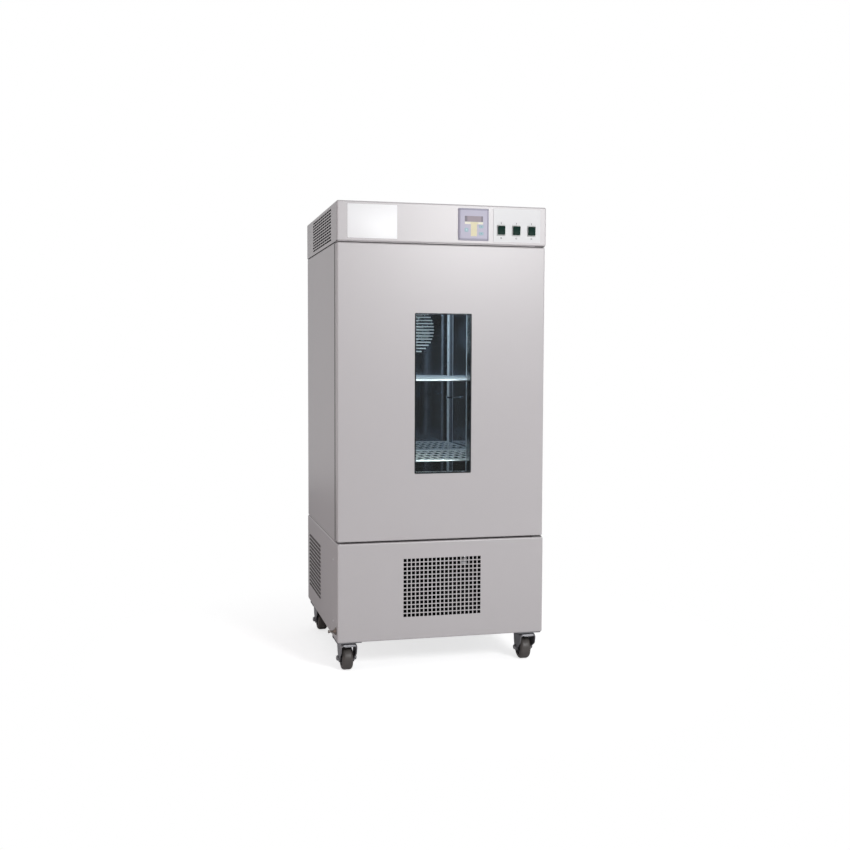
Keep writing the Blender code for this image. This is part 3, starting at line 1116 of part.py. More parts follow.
def build_outlets(brass, plastic):
    """The drain nozzle on the left of the base and the cable gland at the back."""
    reach, barb = NOZZLE_REACH, NOZZLE_REACH - NOZZLE_TIP_LENGTH
    profile = [(NOZZLE_NECK_RADIUS, reach), (NOZZLE_TIP_RADIUS, reach), (NOZZLE_TIP_RADIUS, barb),
               (NOZZLE_NECK_RADIUS, barb - NOZZLE_CHAMFER), (NOZZLE_NECK_RADIUS, NOZZLE_NECK),
               (NOZZLE_WAIST_RADIUS, NOZZLE_WAIST), (NOZZLE_FLARE_RADIUS, FIT + NOZZLE_FLARE_RIM),
               (NOZZLE_FLARE_RADIUS, FIT), (NOZZLE_SHANK_RADIUS, FIT),
               (NOZZLE_SHANK_RADIUS, -NOZZLE_SHANK_LENGTH), (NOZZLE_BORE_RADIUS, -NOZZLE_SHANK_LENGTH),
               (NOZZLE_BORE_RADIUS, reach - NOZZLE_CHAMFER)]
    make_turned("drain_nozzle", profile, place(-HALF_WIDTH, NOZZLE_Y, NOZZLE_HEIGHT), (-1, 0, 0), brass,
                steps=12, closed=True)
    reach, nut_end = GLAND_REACH, GLAND_COLLAR_LENGTH + GLAND_NUT_LENGTH
    profile = [(GLAND_BORE_RADIUS + GLAND_CHAMFER, reach), (GLAND_TIP_RADIUS, reach),
               (GLAND_NUT_RADIUS, nut_end), (GLAND_NUT_RADIUS, GLAND_COLLAR_LENGTH),
               (GLAND_COLLAR_RADIUS, GLAND_COLLAR_LENGTH), (GLAND_COLLAR_RADIUS, FIT),
               (GLAND_SHANK_RADIUS, FIT), (GLAND_SHANK_RADIUS, -BACK_RETURN),
               (GLAND_BORE_RADIUS, -BACK_RETURN), (GLAND_BORE_RADIUS, reach - 2 * GLAND_CHAMFER)]
    make_turned("cable_gland", profile, place(GLAND_X, DEPTH, GLAND_HEIGHT), (0, 1, 0), plastic, steps=10,
                closed=True)


def build_caster_plate(name, x, y, zinc):
    """A caster's fixed plate, with the race and the kingpin and nut that hold the fork."""
    outline = rounded_rectangle(CASTER_PLATE, CASTER_PLATE, CASTER_PLATE_RADIUS)
    plate = make_extruded(f"{name}_plate", outline, CASTER_PLATE_THICKNESS,
                          place(x, y, -FIT - CASTER_PLATE_THICKNESS / 2), FACING_UP, zinc)
    race_top = CASTER_PLATE_BOTTOM + CASTER_PLATE_THICKNESS / 3
    race_bottom = CROWN_TOP + FIT
    nut_top = CROWN_TOP - FORK_SHEET - FIT
    nut_bottom = nut_top - KINGPIN_NUT_HEIGHT
    stack = [(0.0, race_top), (CASTER_RACE_RADIUS + CASTER_RACE_FLARE, race_top),
             (CASTER_RACE_RADIUS, race_bottom), (KINGPIN_RADIUS, race_bottom), (KINGPIN_RADIUS, nut_top),
             (KINGPIN_NUT_RADIUS, nut_top), (KINGPIN_NUT_RADIUS, nut_bottom), (0.0, nut_bottom)]
    join(plate, make_turned(f"{name}_race", stack, place(x, y, 0), (0, 0, 1), steps=10, guide=True))


def build_fork(name, x, y, zinc):
    """A stamped fork, an arch trimmed to its side view, with its axle. Its origin is on the swivel axis."""
    outer, inner = FORK_WIDTH / 2, FORK_WIDTH / 2 - FORK_SHEET
    axle, foot = AXLE_Z - CROWN_TOP, AXLE_Z - CROWN_TOP - AXLE_BOSS_RADIUS
    shoulder, hollow = outer - FORK_SHOULDER, inner - FORK_ARCH_RADIUS
    arch = [(outer, foot), *arc((shoulder, -FORK_SHOULDER), FORK_SHOULDER, 0, 90, 2),
            *arc((-shoulder, -FORK_SHOULDER), FORK_SHOULDER, 90, 180, 2), (-outer, foot), (-inner, foot),
            *arc((-hollow, -FORK_SHEET - FORK_ARCH_RADIUS), FORK_ARCH_RADIUS, 180, 90, 2),
            *arc((hollow, -FORK_SHEET - FORK_ARCH_RADIUS), FORK_ARCH_RADIUS, 90, 0, 2), (inner, foot)]
    at = place(x, y, CROWN_TOP)
    fork = make_extruded(f"{name}_fork", arch, 2 * (FORK_TOP_LENGTH + CASTER_TRAIL), at, FACING_FRONT, zinc)
    front, back = -FORK_TOP_LENGTH / 2, FORK_TOP_LENGTH / 2
    side = [(front, SHEET), (front, -FORK_SHEET - FORK_FRONT_SKIRT),
            (CASTER_TRAIL - AXLE_BOSS_RADIUS, axle)]
    side += arc((CASTER_TRAIL, axle), AXLE_BOSS_RADIUS, 190, 360, 4)
    side += [(max(back, CASTER_TRAIL + AXLE_BOSS_RADIUS), -FORK_SHEET - FORK_BACK_SKIRT), (back, SHEET)]
    trim = make_extruded(f"{name}_side", side, FORK_WIDTH + 2 * FORK_SHEET, at, FACING_SIDE, guide=True)
    combine(fork, trim, "INTERSECT")
    cut(fork, make_rod(f"{name}_king_hole", KINGPIN_RADIUS + KINGPIN_CLEARANCE, -2 * FORK_SHEET,
                       2 * FORK_SHEET, at, (0, 0, 1), steps=10))
    head, seat = outer + AXLE_HEAD_LENGTH, outer - AXLE_HEAD_SINK
    bolt = [(0.0, head), (AXLE_HEAD_RADIUS, head), (AXLE_HEAD_RADIUS, seat), (AXLE_RADIUS, seat),
            (AXLE_RADIUS, -seat), (AXLE_HEAD_RADIUS, -seat), (AXLE_HEAD_RADIUS, -head), (0.0, -head)]
    join(fork, make_turned(f"{name}_axle", bolt, place(x, y + CASTER_TRAIL, AXLE_Z), (1, 0, 0), steps=8,
                           guide=True))


def build_wheel(name, x, y, rubber):
    """A wheel with a dished side and a round-shouldered tread. Its origin is on the axle."""
    tread, hub, bore = WHEEL_WIDTH / 2, WHEEL_HUB_WIDTH / 2, AXLE_RADIUS + AXLE_CLEARANCE
    rim = WHEEL_RADIUS - WHEEL_SHOULDER
    section = [(bore, hub), (WHEEL_HUB_RADIUS, hub), (rim - WHEEL_DISH, tread - WHEEL_DISH), (rim, tread)]
    shoulder = arc((tread - WHEEL_SHOULDER, rim), WHEEL_SHOULDER, 0, 90, 2)
    section += [(out, along) for along, out in shoulder[1:]]
    section += [(out, -along) for out, along in reversed(section)]
    make_turned(f"{name}_wheel", section, place(x, y + CASTER_TRAIL, AXLE_Z), (1, 0, 0), rubber, steps=16,
                closed=True)


def build_casters(zinc, rubber):
    """A swivel caster near each corner: plate, fork and wheel. The wheel trails backwards."""
    for end, y in (("front", CASTER_FRONT_Y), ("back", DEPTH - CASTER_BACK_INSET)):
        for hand, side in (("left", -1), ("right", 1)):
            name, x = f"caster_{end}_{hand}", side * (HALF_WIDTH - CASTER_INSET_X)
            build_caster_plate(name, x, y, zinc)
            build_fork(name, x, y, zinc)
            build_wheel(name, x, y, rubber)


def main():
    """Builds every piece with its finish."""
    clear_scene()
    paint = make_finish("pale_grey_paint", (0.55, 0.53, 0.53), 0.45)
    white_plate = make_finish("white_plate", (0.88, 0.88, 0.88), 0.35)
    steel = make_finish("galvanised_steel", (0.55, 0.56, 0.58), 0.40, 0.9)
    zinc = make_finish("zinc_plate", (0.60, 0.61, 0.64), 0.30, 1.0)
    stainless = make_finish("stainless_steel", (0.58, 0.58, 0.60), 0.18, 1.0)
    aluminium = make_finish("aluminium", (0.75, 0.75, 0.76), 0.30, 1.0)
    copper = make_finish("copper_tube", (0.72, 0.40, 0.25), 0.30, 1.0)
    brass = make_finish("nickelled_brass", (0.55, 0.53, 0.50), 0.30, 1.0)
    foam = make_finish("insulation_foam", (0.80, 0.72, 0.50), 0.90)
    glass = make_finish("window_glass", (0.30, 0.34, 0.36), 0.05)
    rubber = make_finish("black_rubber", (0.03, 0.03, 0.03), 0.70)
    black = make_finish("black_enamel", (0.04, 0.04, 0.045), 0.40)
    plastic = make_finish("dark_plastic", (0.06, 0.06, 0.065), 0.50)
    case = make_finish("lavender_plastic", (0.52, 0.50, 0.60), 0.45)
    key = make_finish("teal_key", (0.45, 0.65, 0.70), 0.50)
    bezel = make_finish("pale_bezel", (0.70, 0.72, 0.71), 0.45)
    rocker = make_finish("dark_green_rocker", (0.02, 0.10, 0.08), 0.35)

    build_base(paint, steel)
    build_body(paint, foam, stainless)
    build_duct(stainless, aluminium, plastic, copper, steel)
    build_shelving(stainless)
    build_probe(stainless)
    build_door(paint, foam, glass, rubber, aluminium, zinc)
    build_control_box(paint, white_plate)
    build_controller(case, key)
    build_switches(bezel, rocker)
    build_refrigeration(black, aluminium, plastic)
    build_outlets(brass, plastic)
    build_casters(zinc, rubber)


main()
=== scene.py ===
"""Looks of the biochemical oxygen demand incubator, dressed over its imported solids.

Metres, +Z up, in the frame of the solids. Places are read in cabinet terms: x from the cabinet's
left side, y back from its front face, z up from its underside.
"""

import json
import logging
import math
from dataclasses import dataclass, replace
from enum import Enum

import bpy
import numpy as np
from bpy.types import Material, Modifier, Node, NodeSocket, NodeTree, Object
from mathutils import Matrix, Vector


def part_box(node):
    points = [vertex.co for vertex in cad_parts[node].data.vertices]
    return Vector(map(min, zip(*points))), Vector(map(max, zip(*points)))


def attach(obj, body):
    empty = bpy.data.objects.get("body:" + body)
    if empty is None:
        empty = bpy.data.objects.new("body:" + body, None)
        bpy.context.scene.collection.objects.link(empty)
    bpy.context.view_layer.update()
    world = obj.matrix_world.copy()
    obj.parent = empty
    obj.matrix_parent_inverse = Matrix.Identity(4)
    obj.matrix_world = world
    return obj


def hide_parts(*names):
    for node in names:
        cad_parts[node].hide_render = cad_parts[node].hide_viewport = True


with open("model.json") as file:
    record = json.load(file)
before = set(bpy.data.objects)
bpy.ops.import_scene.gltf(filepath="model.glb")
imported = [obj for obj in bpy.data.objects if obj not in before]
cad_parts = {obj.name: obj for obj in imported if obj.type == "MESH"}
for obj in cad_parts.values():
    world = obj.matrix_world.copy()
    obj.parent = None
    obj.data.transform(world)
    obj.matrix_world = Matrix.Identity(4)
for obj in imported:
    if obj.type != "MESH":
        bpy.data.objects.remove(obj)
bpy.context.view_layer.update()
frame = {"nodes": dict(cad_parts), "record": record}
CORNER = np.array(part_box("base_front_panel")[0])
log = logging.getLogger("incubator")

Pair = tuple[float, float]
Triple = tuple[float, float, float]
Input = NodeSocket | float | Triple


def at(x: float, y: float, z: float) -> np.ndarray:
    """World point of a place given in cabinet terms."""
    return CORNER + np.array([x, y, z])


def points(*parts: np.ndarray | float) -> np.ndarray:
    """Points from their coordinates, each an array or one number for all."""
    return np.stack(np.broadcast_arrays(*parts), axis=-1)


@dataclass(frozen=True)
class Seat:
    """A place on the cabinet with its own directions: across, up, and out of the surface."""

    origin: np.ndarray
    across: Triple = (1.0, 0.0, 0.0)
    up: Triple = (0.0, 0.0, 1.0)
    out: Triple = (0.0, -1.0, 0.0)

    def world(self, u: np.ndarray, v: np.ndarray, w: np.ndarray | float) -> np.ndarray:
        """World points of local coordinates, one row of three for each."""
        return self.origin + points(u, v, w) @ np.array([self.across, self.up, self.out])


def front_seat(x: float, y: float, z: float) -> Seat:
    """A seat on a surface that faces the front."""
    return Seat(at(x, y, z))


def side_seat(side: int, origin: np.ndarray) -> Seat:
    """A seat on a surface that faces left (side -1) or right (side 1)."""
    return Seat(origin, (0.0, float(side), 0.0), (0.0, 0.0, 1.0), (float(side), 0.0, 0.0))


def flat_seat(origin: np.ndarray, up: int = 1) -> Seat:
    """A seat on a level surface that faces up (1) or down (-1)."""
    return Seat(origin, (1.0, 0.0, 0.0), (0.0, float(up), 0.0), (0.0, 0.0, float(up)))


@dataclass
class Surface:
    """Points of a piece in world metres and the faces between them."""

    points: np.ndarray
    faces: list[tuple[int, ...]]

    def __add__(self, other: "Surface") -> "Surface":
        """Both surfaces as one."""
        shift = len(self.points)
        moved = [tuple(index + shift for index in face) for face in other.faces]
        return Surface(np.vstack([self.points, other.points]), self.faces + moved)


def gather(parts: list[Surface]) -> Surface:
    """All the parts as one surface."""
    return sum(parts[1:], parts[0])


def lofted(rings: np.ndarray, caps: bool = True, closed: bool = False, cyclic: bool = True,
           keep: np.ndarray | None = None) -> Surface:
    """A skin over a grid of points: neighbouring points of neighbouring rings make one face.

    Args:
        rings: points as (ring, point, 3), each ring anticlockwise seen against the direction of travel.
        caps: close the first and last ring with one face each.
        closed: join the last ring to the first.
        cyclic: join the last point of each ring to its first.
        keep: one flag for each face of the grid, False where the skin has a hole.

    Returns:
        The surface with its faces outwards.
    """
    count, size = rings.shape[:2]
    rows = np.arange(count if closed else count - 1)
    columns = np.arange(size if cyclic else size - 1)
    i, j = np.meshgrid(rows, columns, indexing="ij")
    after, beside = (i + 1) % count, (j + 1) % size
    quads = points(i * size + j, i * size + beside, after * size + beside, after * size + j)
    faces = quads.reshape(-1, 4) if keep is None else quads[keep]
    skin = [tuple(face) for face in faces.tolist()]
    if caps:
        skin += [tuple(range(size - 1, -1, -1)), tuple(range((count - 1) * size, count * size))]
    return Surface(rings.reshape(-1, 3), skin)


def rounded_outline(width: float, height: float, radius: float, steps: int = 5) -> np.ndarray:
    """A rectangle with quarter-circle corners, anticlockwise from its right side.

    Each corner point is the corner circle's centre plus the radius at an angle that runs over a quarter turn.
    """
    quarter = np.repeat(np.arange(4), steps + 1)
    angle = np.radians(90 * quarter + np.tile(np.linspace(0, 90, steps + 1), 4))
    across = np.array([1, -1, -1, 1])[quarter] * (width / 2 - radius)
    up = np.array([1, 1, -1, -1])[quarter] * (height / 2 - radius)
    return points(across + radius * np.cos(angle), up + radius * np.sin(angle))


def inset_outline(outline: np.ndarray, distance: float) -> np.ndarray:
    """The outline moved inwards: each point goes along the mitre of the two edges that meet there."""
    forward = np.roll(outline, -1, axis=0) - outline
    forward /= np.linalg.norm(forward, axis=1, keepdims=True)
    inward = points(-forward[:, 1], forward[:, 0])
    before = np.roll(inward, 1, axis=0)
    mitre = (inward + before) / (1 + np.sum(inward * before, axis=1, keepdims=True))
    return outline + distance * mitre


def prism(outline: np.ndarray, levels: list[Pair], seat: Seat, closed: bool = False) -> Surface:
    """A plate or box: the outline, inset and raised to each level in turn, from the back to the front.

    Args:
        outline: anticlockwise (u, v) points.
        levels: (inset, height out of the seat) pairs.
        seat: where it stands.
        closed: join the last level to the first, as a ring that is open in the middle.

    Returns:
        The closed surface.
    """
    rings = [seat.world(*inset_outline(outline, inset).T, height) for inset, height in levels]
    return lofted(np.array(rings), caps=not closed, closed=closed)


def soft_plate(width: float, height: float, radius: float, back: float, front: float, edge: float,
               seat: Seat) -> Surface:
    """A plate whose front edge is rounded over in three steps along a quarter circle."""
    turn = np.radians([0, 30, 60, 90])
    levels = [(0.0, back)] + [(edge * (1 - math.cos(a)), front - edge * (1 - math.sin(a))) for a in turn]
    return prism(rounded_outline(width, height, radius), levels, seat)


def turned(profile: list[Pair], seat: Seat, steps: int = 32, closed: bool = False) -> Surface:
    """A turned piece: each (radius, height) pair makes a circle about the seat's outward axis.

    The profile runs up the outer side. A closed one then runs down the bore and joins up.
    """
    radius, height = np.array(profile).T[..., None]
    angle = np.linspace(0, 2 * math.pi, steps, endpoint=False)
    rings = seat.world(radius * np.cos(angle), radius * np.sin(angle), height)
    return lofted(rings, caps=not closed, closed=closed)


def tube(path: np.ndarray, radius: float, sides: int = 8, closed: bool = False) -> Surface:
    """A round wire along a path that lies level.

    Each ring is the path point plus the radius times (cosine of the side direction plus sine of the
    upward direction), where the side direction is upwards crossed with the path's direction.
    """
    if closed:
        along = np.roll(path, -1, axis=0) - np.roll(path, 1, axis=0)
    else:
        along = np.gradient(path, axis=0)
    along = along / np.linalg.norm(along, axis=1, keepdims=True)
    up = np.array([0.0, 0.0, 1.0])
    side = np.cross(up, along)
    angle = np.linspace(0, 2 * math.pi, sides, endpoint=False)[None, :, None]
    rings = path[:, None, :] + radius * (np.cos(angle) * side[:, None, :] + np.sin(angle) * up)
    return lofted(rings, caps=not closed, closed=closed)


def thicken(piece: Object, thickness: float, offset: float = -1.0, rim: float = 0.0, segments: int = 1) -> Modifier:
    """Give a sheet its thickness and, where rim is set, a bevel of that width at its edges."""
    wall = piece.modifiers.new("wall", "SOLIDIFY")
    wall.thickness, wall.offset = thickness, offset
    if rim:
        bevel = piece.modifiers.new("rim", "BEVEL")
        bevel.width, bevel.segments = rim, segments
        bevel.angle_limit, bevel.harden_normals = math.radians(50), True
    return wall


class Wiring:
    """Adds nodes to a node tree and links them. An input is a plain value, or an output socket to link."""

    def __init__(self, tree: NodeTree) -> None:
        """Remember the tree."""
        self.tree = tree

    def feed(self, node: Node, inputs: dict[int | str, Input]) -> Node:
        """Give a node its inputs. Colours are three numbers and get a full alpha."""
        for key, value in inputs.items():
            socket = node.inputs[key]
            if isinstance(value, NodeSocket):
                self.tree.links.new(value, socket)
            else:
                socket.default_value = (*value, 1.0) if socket.type == "RGBA" else value
        return node

    def add(self, kind: str, inputs: dict[int | str, Input] | None = None, **settings) -> Node:
        """A new node with its settings and inputs."""
        node = self.tree.nodes.new("ShaderNode" + kind)
        for setting, value in settings.items():
            setattr(node, setting, value)
        return self.feed(node, inputs or {})

    def group(self, tree: NodeTree, inputs: dict[str, Input]) -> dict[str, NodeSocket]:
        """The outputs of a group node with its values."""
        return self.add("Group", inputs, node_tree=tree).outputs

    def mix(self, share: Input, first: Input, second: Input) -> NodeSocket:
        """A colour between two colours."""
        return self.add("Mix", {0: share, 6: first, 7: second}, data_type="RGBA").outputs[2]

    def math(self, operation: str, *values: Input) -> NodeSocket:
        """The result of one sum."""
        return self.add("Math", dict(enumerate(values)), operation=operation).outputs[0]

    def vector(self, operation: str, first: Input, second: Input, out: int | str = 0) -> NodeSocket:
        """The result of one sum of vectors. To scale one, the second is the factor."""
        second_key = "Scale" if operation == "SCALE" else 1
        return self.add("VectorMath", {0: first, second_key: second}, operation=operation).outputs[out]

    def ramp(self, value: Input, start: float, end: float, low: float = 0.0, high: float = 1.0,
             **settings) -> NodeSocket:
        """The value carried from one range to another and held within it."""
        inputs = {"Value": value, "From Min": start, "From Max": end, "To Min": low, "To Max": high}
        return self.add("MapRange", inputs, **settings).outputs[0]

    def place(self, kind: str = "Object") -> NodeSocket:
        """The object's coordinates, or its normal."""
        return self.add("TexCoord").outputs[kind]

    def parts(self, vector: NodeSocket) -> dict[int | str, NodeSocket]:
        """The X, Y and Z of a vector."""
        return self.add("SeparateXYZ", {0: vector}).outputs

    def noise(self, place: Input, scale: Input, detail: Input, roughness: float = 0.5) -> NodeSocket:
        """Noise between nought and one."""
        inputs = {"Vector": place, "Scale": scale, "Detail": detail, "Roughness": roughness}
        return self.add("TexNoise", inputs).outputs[0]

    def swing(self, value: Input, strength: Input, middle: float) -> NodeSocket:
        """A middle value that goes up and down by strength as the given value leaves a half."""
        return self.math("MULTIPLY_ADD", self.math("SUBTRACT", value, 0.5), strength, middle)

    def product(self, first: Input, second: Input, third: Input) -> NodeSocket:
        """Three values multiplied."""
        return self.math("MULTIPLY", self.math("MULTIPLY", first, second), third)


def new_group(name: str, inputs: dict[str, float | tuple[float, ...]]) -> tuple[Wiring, dict[str, NodeSocket]]:
    """An empty node group whose named inputs have the kinds of their first values: number, vector or colour."""
    tree = bpy.data.node_groups.new(name, "ShaderNodeTree")
    for key, value in inputs.items():
        kind = "Float" if isinstance(value, float) else {3: "Vector", 4: "Color"}[len(value)]
        tree.interface.new_socket(key, in_out="INPUT", socket_type="NodeSocket" + kind).default_value = value
    return Wiring(tree), tree.nodes.new("NodeGroupInput").outputs


def close_group(wiring: Wiring, **outputs: NodeSocket) -> NodeTree:
    """The group with its named outputs."""
    for key in outputs:
        kind = {"Colour": "Color", "Normal": "Vector"}.get(key, "Float")
        wiring.tree.interface.new_socket(key, in_out="OUTPUT", socket_type="NodeSocket" + kind)
    wiring.feed(wiring.tree.nodes.new("NodeGroupOutput"), outputs)
    return wiring.tree


def grain_group() -> NodeTree:
    """Fine relief: noise over the object's coordinates, stretched by a vector."""
    wiring, given = new_group("grain", {"Scale": 300.0, "Stretch": (1.0, 1.0, 1.0), "Detail": 3.0})
    stretched = wiring.vector("MULTIPLY", wiring.place(), given["Stretch"])
    return close_group(wiring, Height=wiring.noise(stretched, given["Scale"], given["Detail"], 0.6))


def mottle_group() -> NodeTree:
    """Slow unevenness of tone: the colour goes up and down by Strength with broad noise."""
    wiring, given = new_group("mottle", {"Colour": (0.5, 0.5, 0.5, 1.0), "Scale": 5.0, "Strength": 0.05})
    noise = wiring.noise(wiring.place(), given["Scale"], 4.0, 0.55)
    toned = wiring.vector("SCALE", given["Colour"], wiring.swing(noise, given["Strength"], 1.0))
    return close_group(wiring, Colour=toned, Value=noise)


def edge_group() -> NodeTree:
    """Rounded edges and where they are worn: the angle between the rounded and the plain normal, broken by noise."""
    wiring, given = new_group("edge", {"Radius": 0.001, "Wear": 0.3})
    rounded = wiring.add("Bevel", {"Radius": given["Radius"]}, samples=4).outputs[0]
    close = wiring.vector("DOT_PRODUCT", rounded, wiring.add("NewGeometry").outputs["Normal"], "Value")
    broken = wiring.ramp(wiring.noise(wiring.place(), 90.0, 5.0), 0.48, 0.62)
    mask = wiring.product(wiring.ramp(close, 0.995, 0.85), broken, given["Wear"])
    return close_group(wiring, Normal=rounded, Mask=mask)


def dust_group() -> NodeTree:
    """Dust: where the surface faces up, in soft patches of noise."""
    wiring, given = new_group("dust", {"Amount": 0.2})
    level = wiring.ramp(wiring.parts(wiring.place("Normal"))["Z"], 0.35, 0.95)
    patches = wiring.ramp(wiring.noise(wiring.place(), 35.0, 6.0), 0.35, 0.75)
    return close_group(wiring, Mask=wiring.product(level, patches, given["Amount"]))


def spangle_group() -> NodeTree:
    """Zinc crystals: cells of slightly different tone."""
    wiring, given = new_group("spangle", {"Colour": (0.5, 0.5, 0.5, 1.0), "Scale": 90.0, "Strength": 0.2})
    cells = wiring.add("TexVoronoi", {"Vector": wiring.place(), "Scale": given["Scale"]}).outputs["Color"]
    tone = wiring.add("SeparateColor", {0: cells}).outputs[0]
    toned = wiring.vector("SCALE", given["Colour"], wiring.swing(tone, given["Strength"], 1.0))
    return close_group(wiring, Colour=toned, Value=tone)


def within_group() -> NodeTree:
    """One where the object's coordinates lie between two corners, and nought elsewhere."""
    wiring, given = new_group("within", {"Low": (0.0, 0.0, 0.0), "High": (1.0, 1.0, 1.0)})
    place = wiring.place()
    above, below = wiring.vector("SUBTRACT", place, given["Low"]), wiring.vector("SUBTRACT", given["High"], place)
    x, y, z = wiring.parts(wiring.vector("MINIMUM", above, below))
    smallest = wiring.math("MINIMUM", wiring.math("MINIMUM", x, y), z)
    return close_group(wiring, Mask=wiring.math("GREATER_THAN", smallest, 0.0))


def ruled_group() -> NodeTree:
    """One in the lowest share of each pitch of the value above the start, and nought in the rest."""
    wiring, given = new_group("ruled", {"Value": 0.0, "Start": 0.0, "Pitch": 0.01, "Share": 0.5})
    turns = wiring.math("DIVIDE", wiring.math("SUBTRACT", given["Value"], given["Start"]), given["Pitch"])
    return close_group(wiring, Mask=wiring.math("LESS_THAN", wiring.math("FRACT", turns), given["Share"]))


GRAIN, MOTTLE, EDGE, DUST, SPANGLE = grain_group(), mottle_group(), edge_group(), dust_group(), spangle_group()
WITHIN, RULED = within_group(), ruled_group()
DUST_COLOUR = (0.42, 0.40, 0.37)
DUST_ROUGHENS, PAINTED_LINE_ROUGHENS = 0.4, 0.5
TONE_SCALE, SMEAR_SCALE, PRINT_SCALE = 7.0, 9.0, 60.0


def new_material(name: str, values: dict[str, float]) -> tuple[Material, Wiring, Node]:
    """A material with its wiring and its shader, whose own sockets get the values."""
    material = bpy.data.materials.new(name)
    material.use_nodes = True
    wiring = Wiring(material.node_tree)
    return material, wiring, wiring.feed(material.node_tree.nodes["Principled BSDF"], values)


class Texture(Enum):
    """The relief of a surface as (scale per metre, stretch, depth in metres, share of it in the roughness)."""

    ORANGE_PEEL = (420.0, (1.0, 1.0, 1.0), 0.00003, 0.06)
    BRUSHED_LEVEL = (700.0, (0.02, 0.02, 1.0), 0.000012, 0.16)
    BRUSHED_UPRIGHT = (700.0, (1.0, 1.0, 0.02), 0.000012, 0.16)
    MOULDED = (900.0, (1.0, 1.0, 1.0), 0.00003, 0.10)
    CAST = (500.0, (1.0, 1.0, 1.0), 0.00012, 0.18)
    FOAM = (160.0, (1.0, 1.0, 1.0), 0.0006, 0.05)
    ROLLED = (260.0, (1.0, 0.15, 1.0), 0.00002, 0.15)
    MIRROR_LEVEL = (25.0, (1.0, 1.0, 0.4), 0.000012, 0.02)


@dataclass(frozen=True)
class Ruled:
    """Painted light: lines painted darker for shade, or paler for highlight, at a pitch along one or two axes (0 is x,
    2 is z), between two corners in cabinet terms.
    """

    low: Triple
    high: Triple
    axes: tuple[int, ...]
    pitch: float
    share: float
    colour: Triple


@dataclass(frozen=True)
class Finish:
    """A solid finish: base colour with slow mottle, relief, rounded worn edges and dust, and, where ruled is set, lines
    of painted shade or painted highlight.
    """

    colour: Triple
    roughness: float
    texture: Texture
    metallic: float = 0.0
    mottle: float = 0.06
    edge: float = 0.0008
    wear: float = 0.0
    bare: Triple = (0.45, 0.45, 0.46)
    dust: float = 0.0
    spangle: float = 0.0
    coat: float = 0.0
    specular: float = 0.5
    ruled: Ruled | None = None

    def build(self, name: str) -> Material:
        """The material with its node tree."""
        scale, stretch, depth, roughening = self.texture.value
        material, wiring, shader = new_material(
            name, {"Metallic": self.metallic, "Specular IOR Level": self.specular, "Coat Weight": self.coat})
        colour = wiring.group(MOTTLE, {"Colour": self.colour, "Scale": TONE_SCALE, "Strength": self.mottle})["Colour"]
        if self.spangle:
            colour = wiring.group(SPANGLE, {"Colour": colour, "Strength": self.spangle})["Colour"]
        edge = wiring.group(EDGE, {"Radius": self.edge, "Wear": self.wear})
        if self.wear:
            colour = wiring.mix(edge["Mask"], colour, self.bare)
        grain = wiring.group(GRAIN, {"Scale": scale, "Stretch": stretch})["Height"]
        rough = wiring.swing(grain, roughening, self.roughness)
        if self.dust:
            dust = wiring.group(DUST, {"Amount": self.dust})["Mask"]
            colour = wiring.mix(dust, colour, DUST_COLOUR)
            rough = wiring.math("MULTIPLY_ADD", dust, DUST_ROUGHENS, rough)
        # Ruled lines paint shade or highlight into the colour and roughen it there.
        if self.ruled:
            painted_mask = self.marks(wiring)
            colour = wiring.mix(painted_mask, colour, self.ruled.colour)
            rough = wiring.math("MULTIPLY_ADD", painted_mask, PAINTED_LINE_ROUGHENS, rough)
        bump = wiring.add("Bump", {"Distance": depth, "Strength": 1.0, "Height": grain, "Normal": edge["Normal"]})
        wiring.feed(shader, {"Base Color": colour, "Roughness": rough, "Normal": bump.outputs[0]})
        return material

    def marks(self, wiring: Wiring) -> NodeSocket:
        """The mask of the ruled lines of painted shade or painted highlight."""
        low, high = (tuple(at(*corner).tolist()) for corner in (self.ruled.low, self.ruled.high))
        painted_mask = wiring.group(WITHIN, {"Low": low, "High": high})["Mask"]
        for axis in self.ruled.axes:
            lines = wiring.group(RULED, {"Value": wiring.parts(wiring.place())[axis], "Start": low[axis],
                                         "Pitch": self.ruled.pitch, "Share": self.ruled.share})["Mask"]
            painted_mask = wiring.math("MULTIPLY", painted_mask, lines)
        return painted_mask


@dataclass(frozen=True)
class GlassFinish:
    """Clear sheet glass. Light passes straight through it for shadows."""

    tint: Triple = (0.93, 0.96, 0.95)

    def build(self, name: str) -> Material:
        """The material with its node tree."""
        material, wiring, shader = new_material(name, {"Transmission Weight": 1.0, "IOR": 1.45})
        smear = wiring.group(MOTTLE, {"Colour": self.tint, "Scale": SMEAR_SCALE, "Strength": 0.03})
        rough = wiring.ramp(smear["Value"], 0.45, 0.8, 0.0, 0.002)
        wiring.feed(shader, {"Base Color": smear["Colour"], "Roughness": rough})
        clear = wiring.add("BsdfTransparent", {"Color": self.tint})
        shadow = wiring.add("LightPath").outputs["Is Shadow Ray"]
        both = wiring.add("MixShader", {0: shadow, 1: shader.outputs[0], 2: clear.outputs[0]})
        wiring.feed(material.node_tree.nodes["Material Output"], {"Surface": both.outputs[0]})
        return material


@dataclass(frozen=True)
class FadeFinish:
    """A print or lens whose colour changes with the distance from its middle line.

    The distance is measured along x in cabinet terms, from start to end, between two colours.
    """

    inner: Triple
    outer: Triple
    middle: float
    start: float
    end: float
    roughness: float
    specular: float = 0.2

    def build(self, name: str) -> Material:
        """The material with its node tree."""
        material, wiring, shader = new_material(name, {"Specular IOR Level": self.specular})
        along = wiring.math("SUBTRACT", wiring.parts(wiring.place())["X"], CORNER[0] + self.middle)
        share = wiring.ramp(wiring.math("ABSOLUTE", along), self.start, self.end)
        colour = wiring.mix(share, self.inner, self.outer)
        mottle = wiring.group(MOTTLE, {"Colour": colour, "Scale": PRINT_SCALE, "Strength": 0.12})
        rough = wiring.swing(mottle["Value"], 0.2, self.roughness)
        wiring.feed(shader, {"Base Color": mottle["Colour"], "Roughness": rough})
        return material


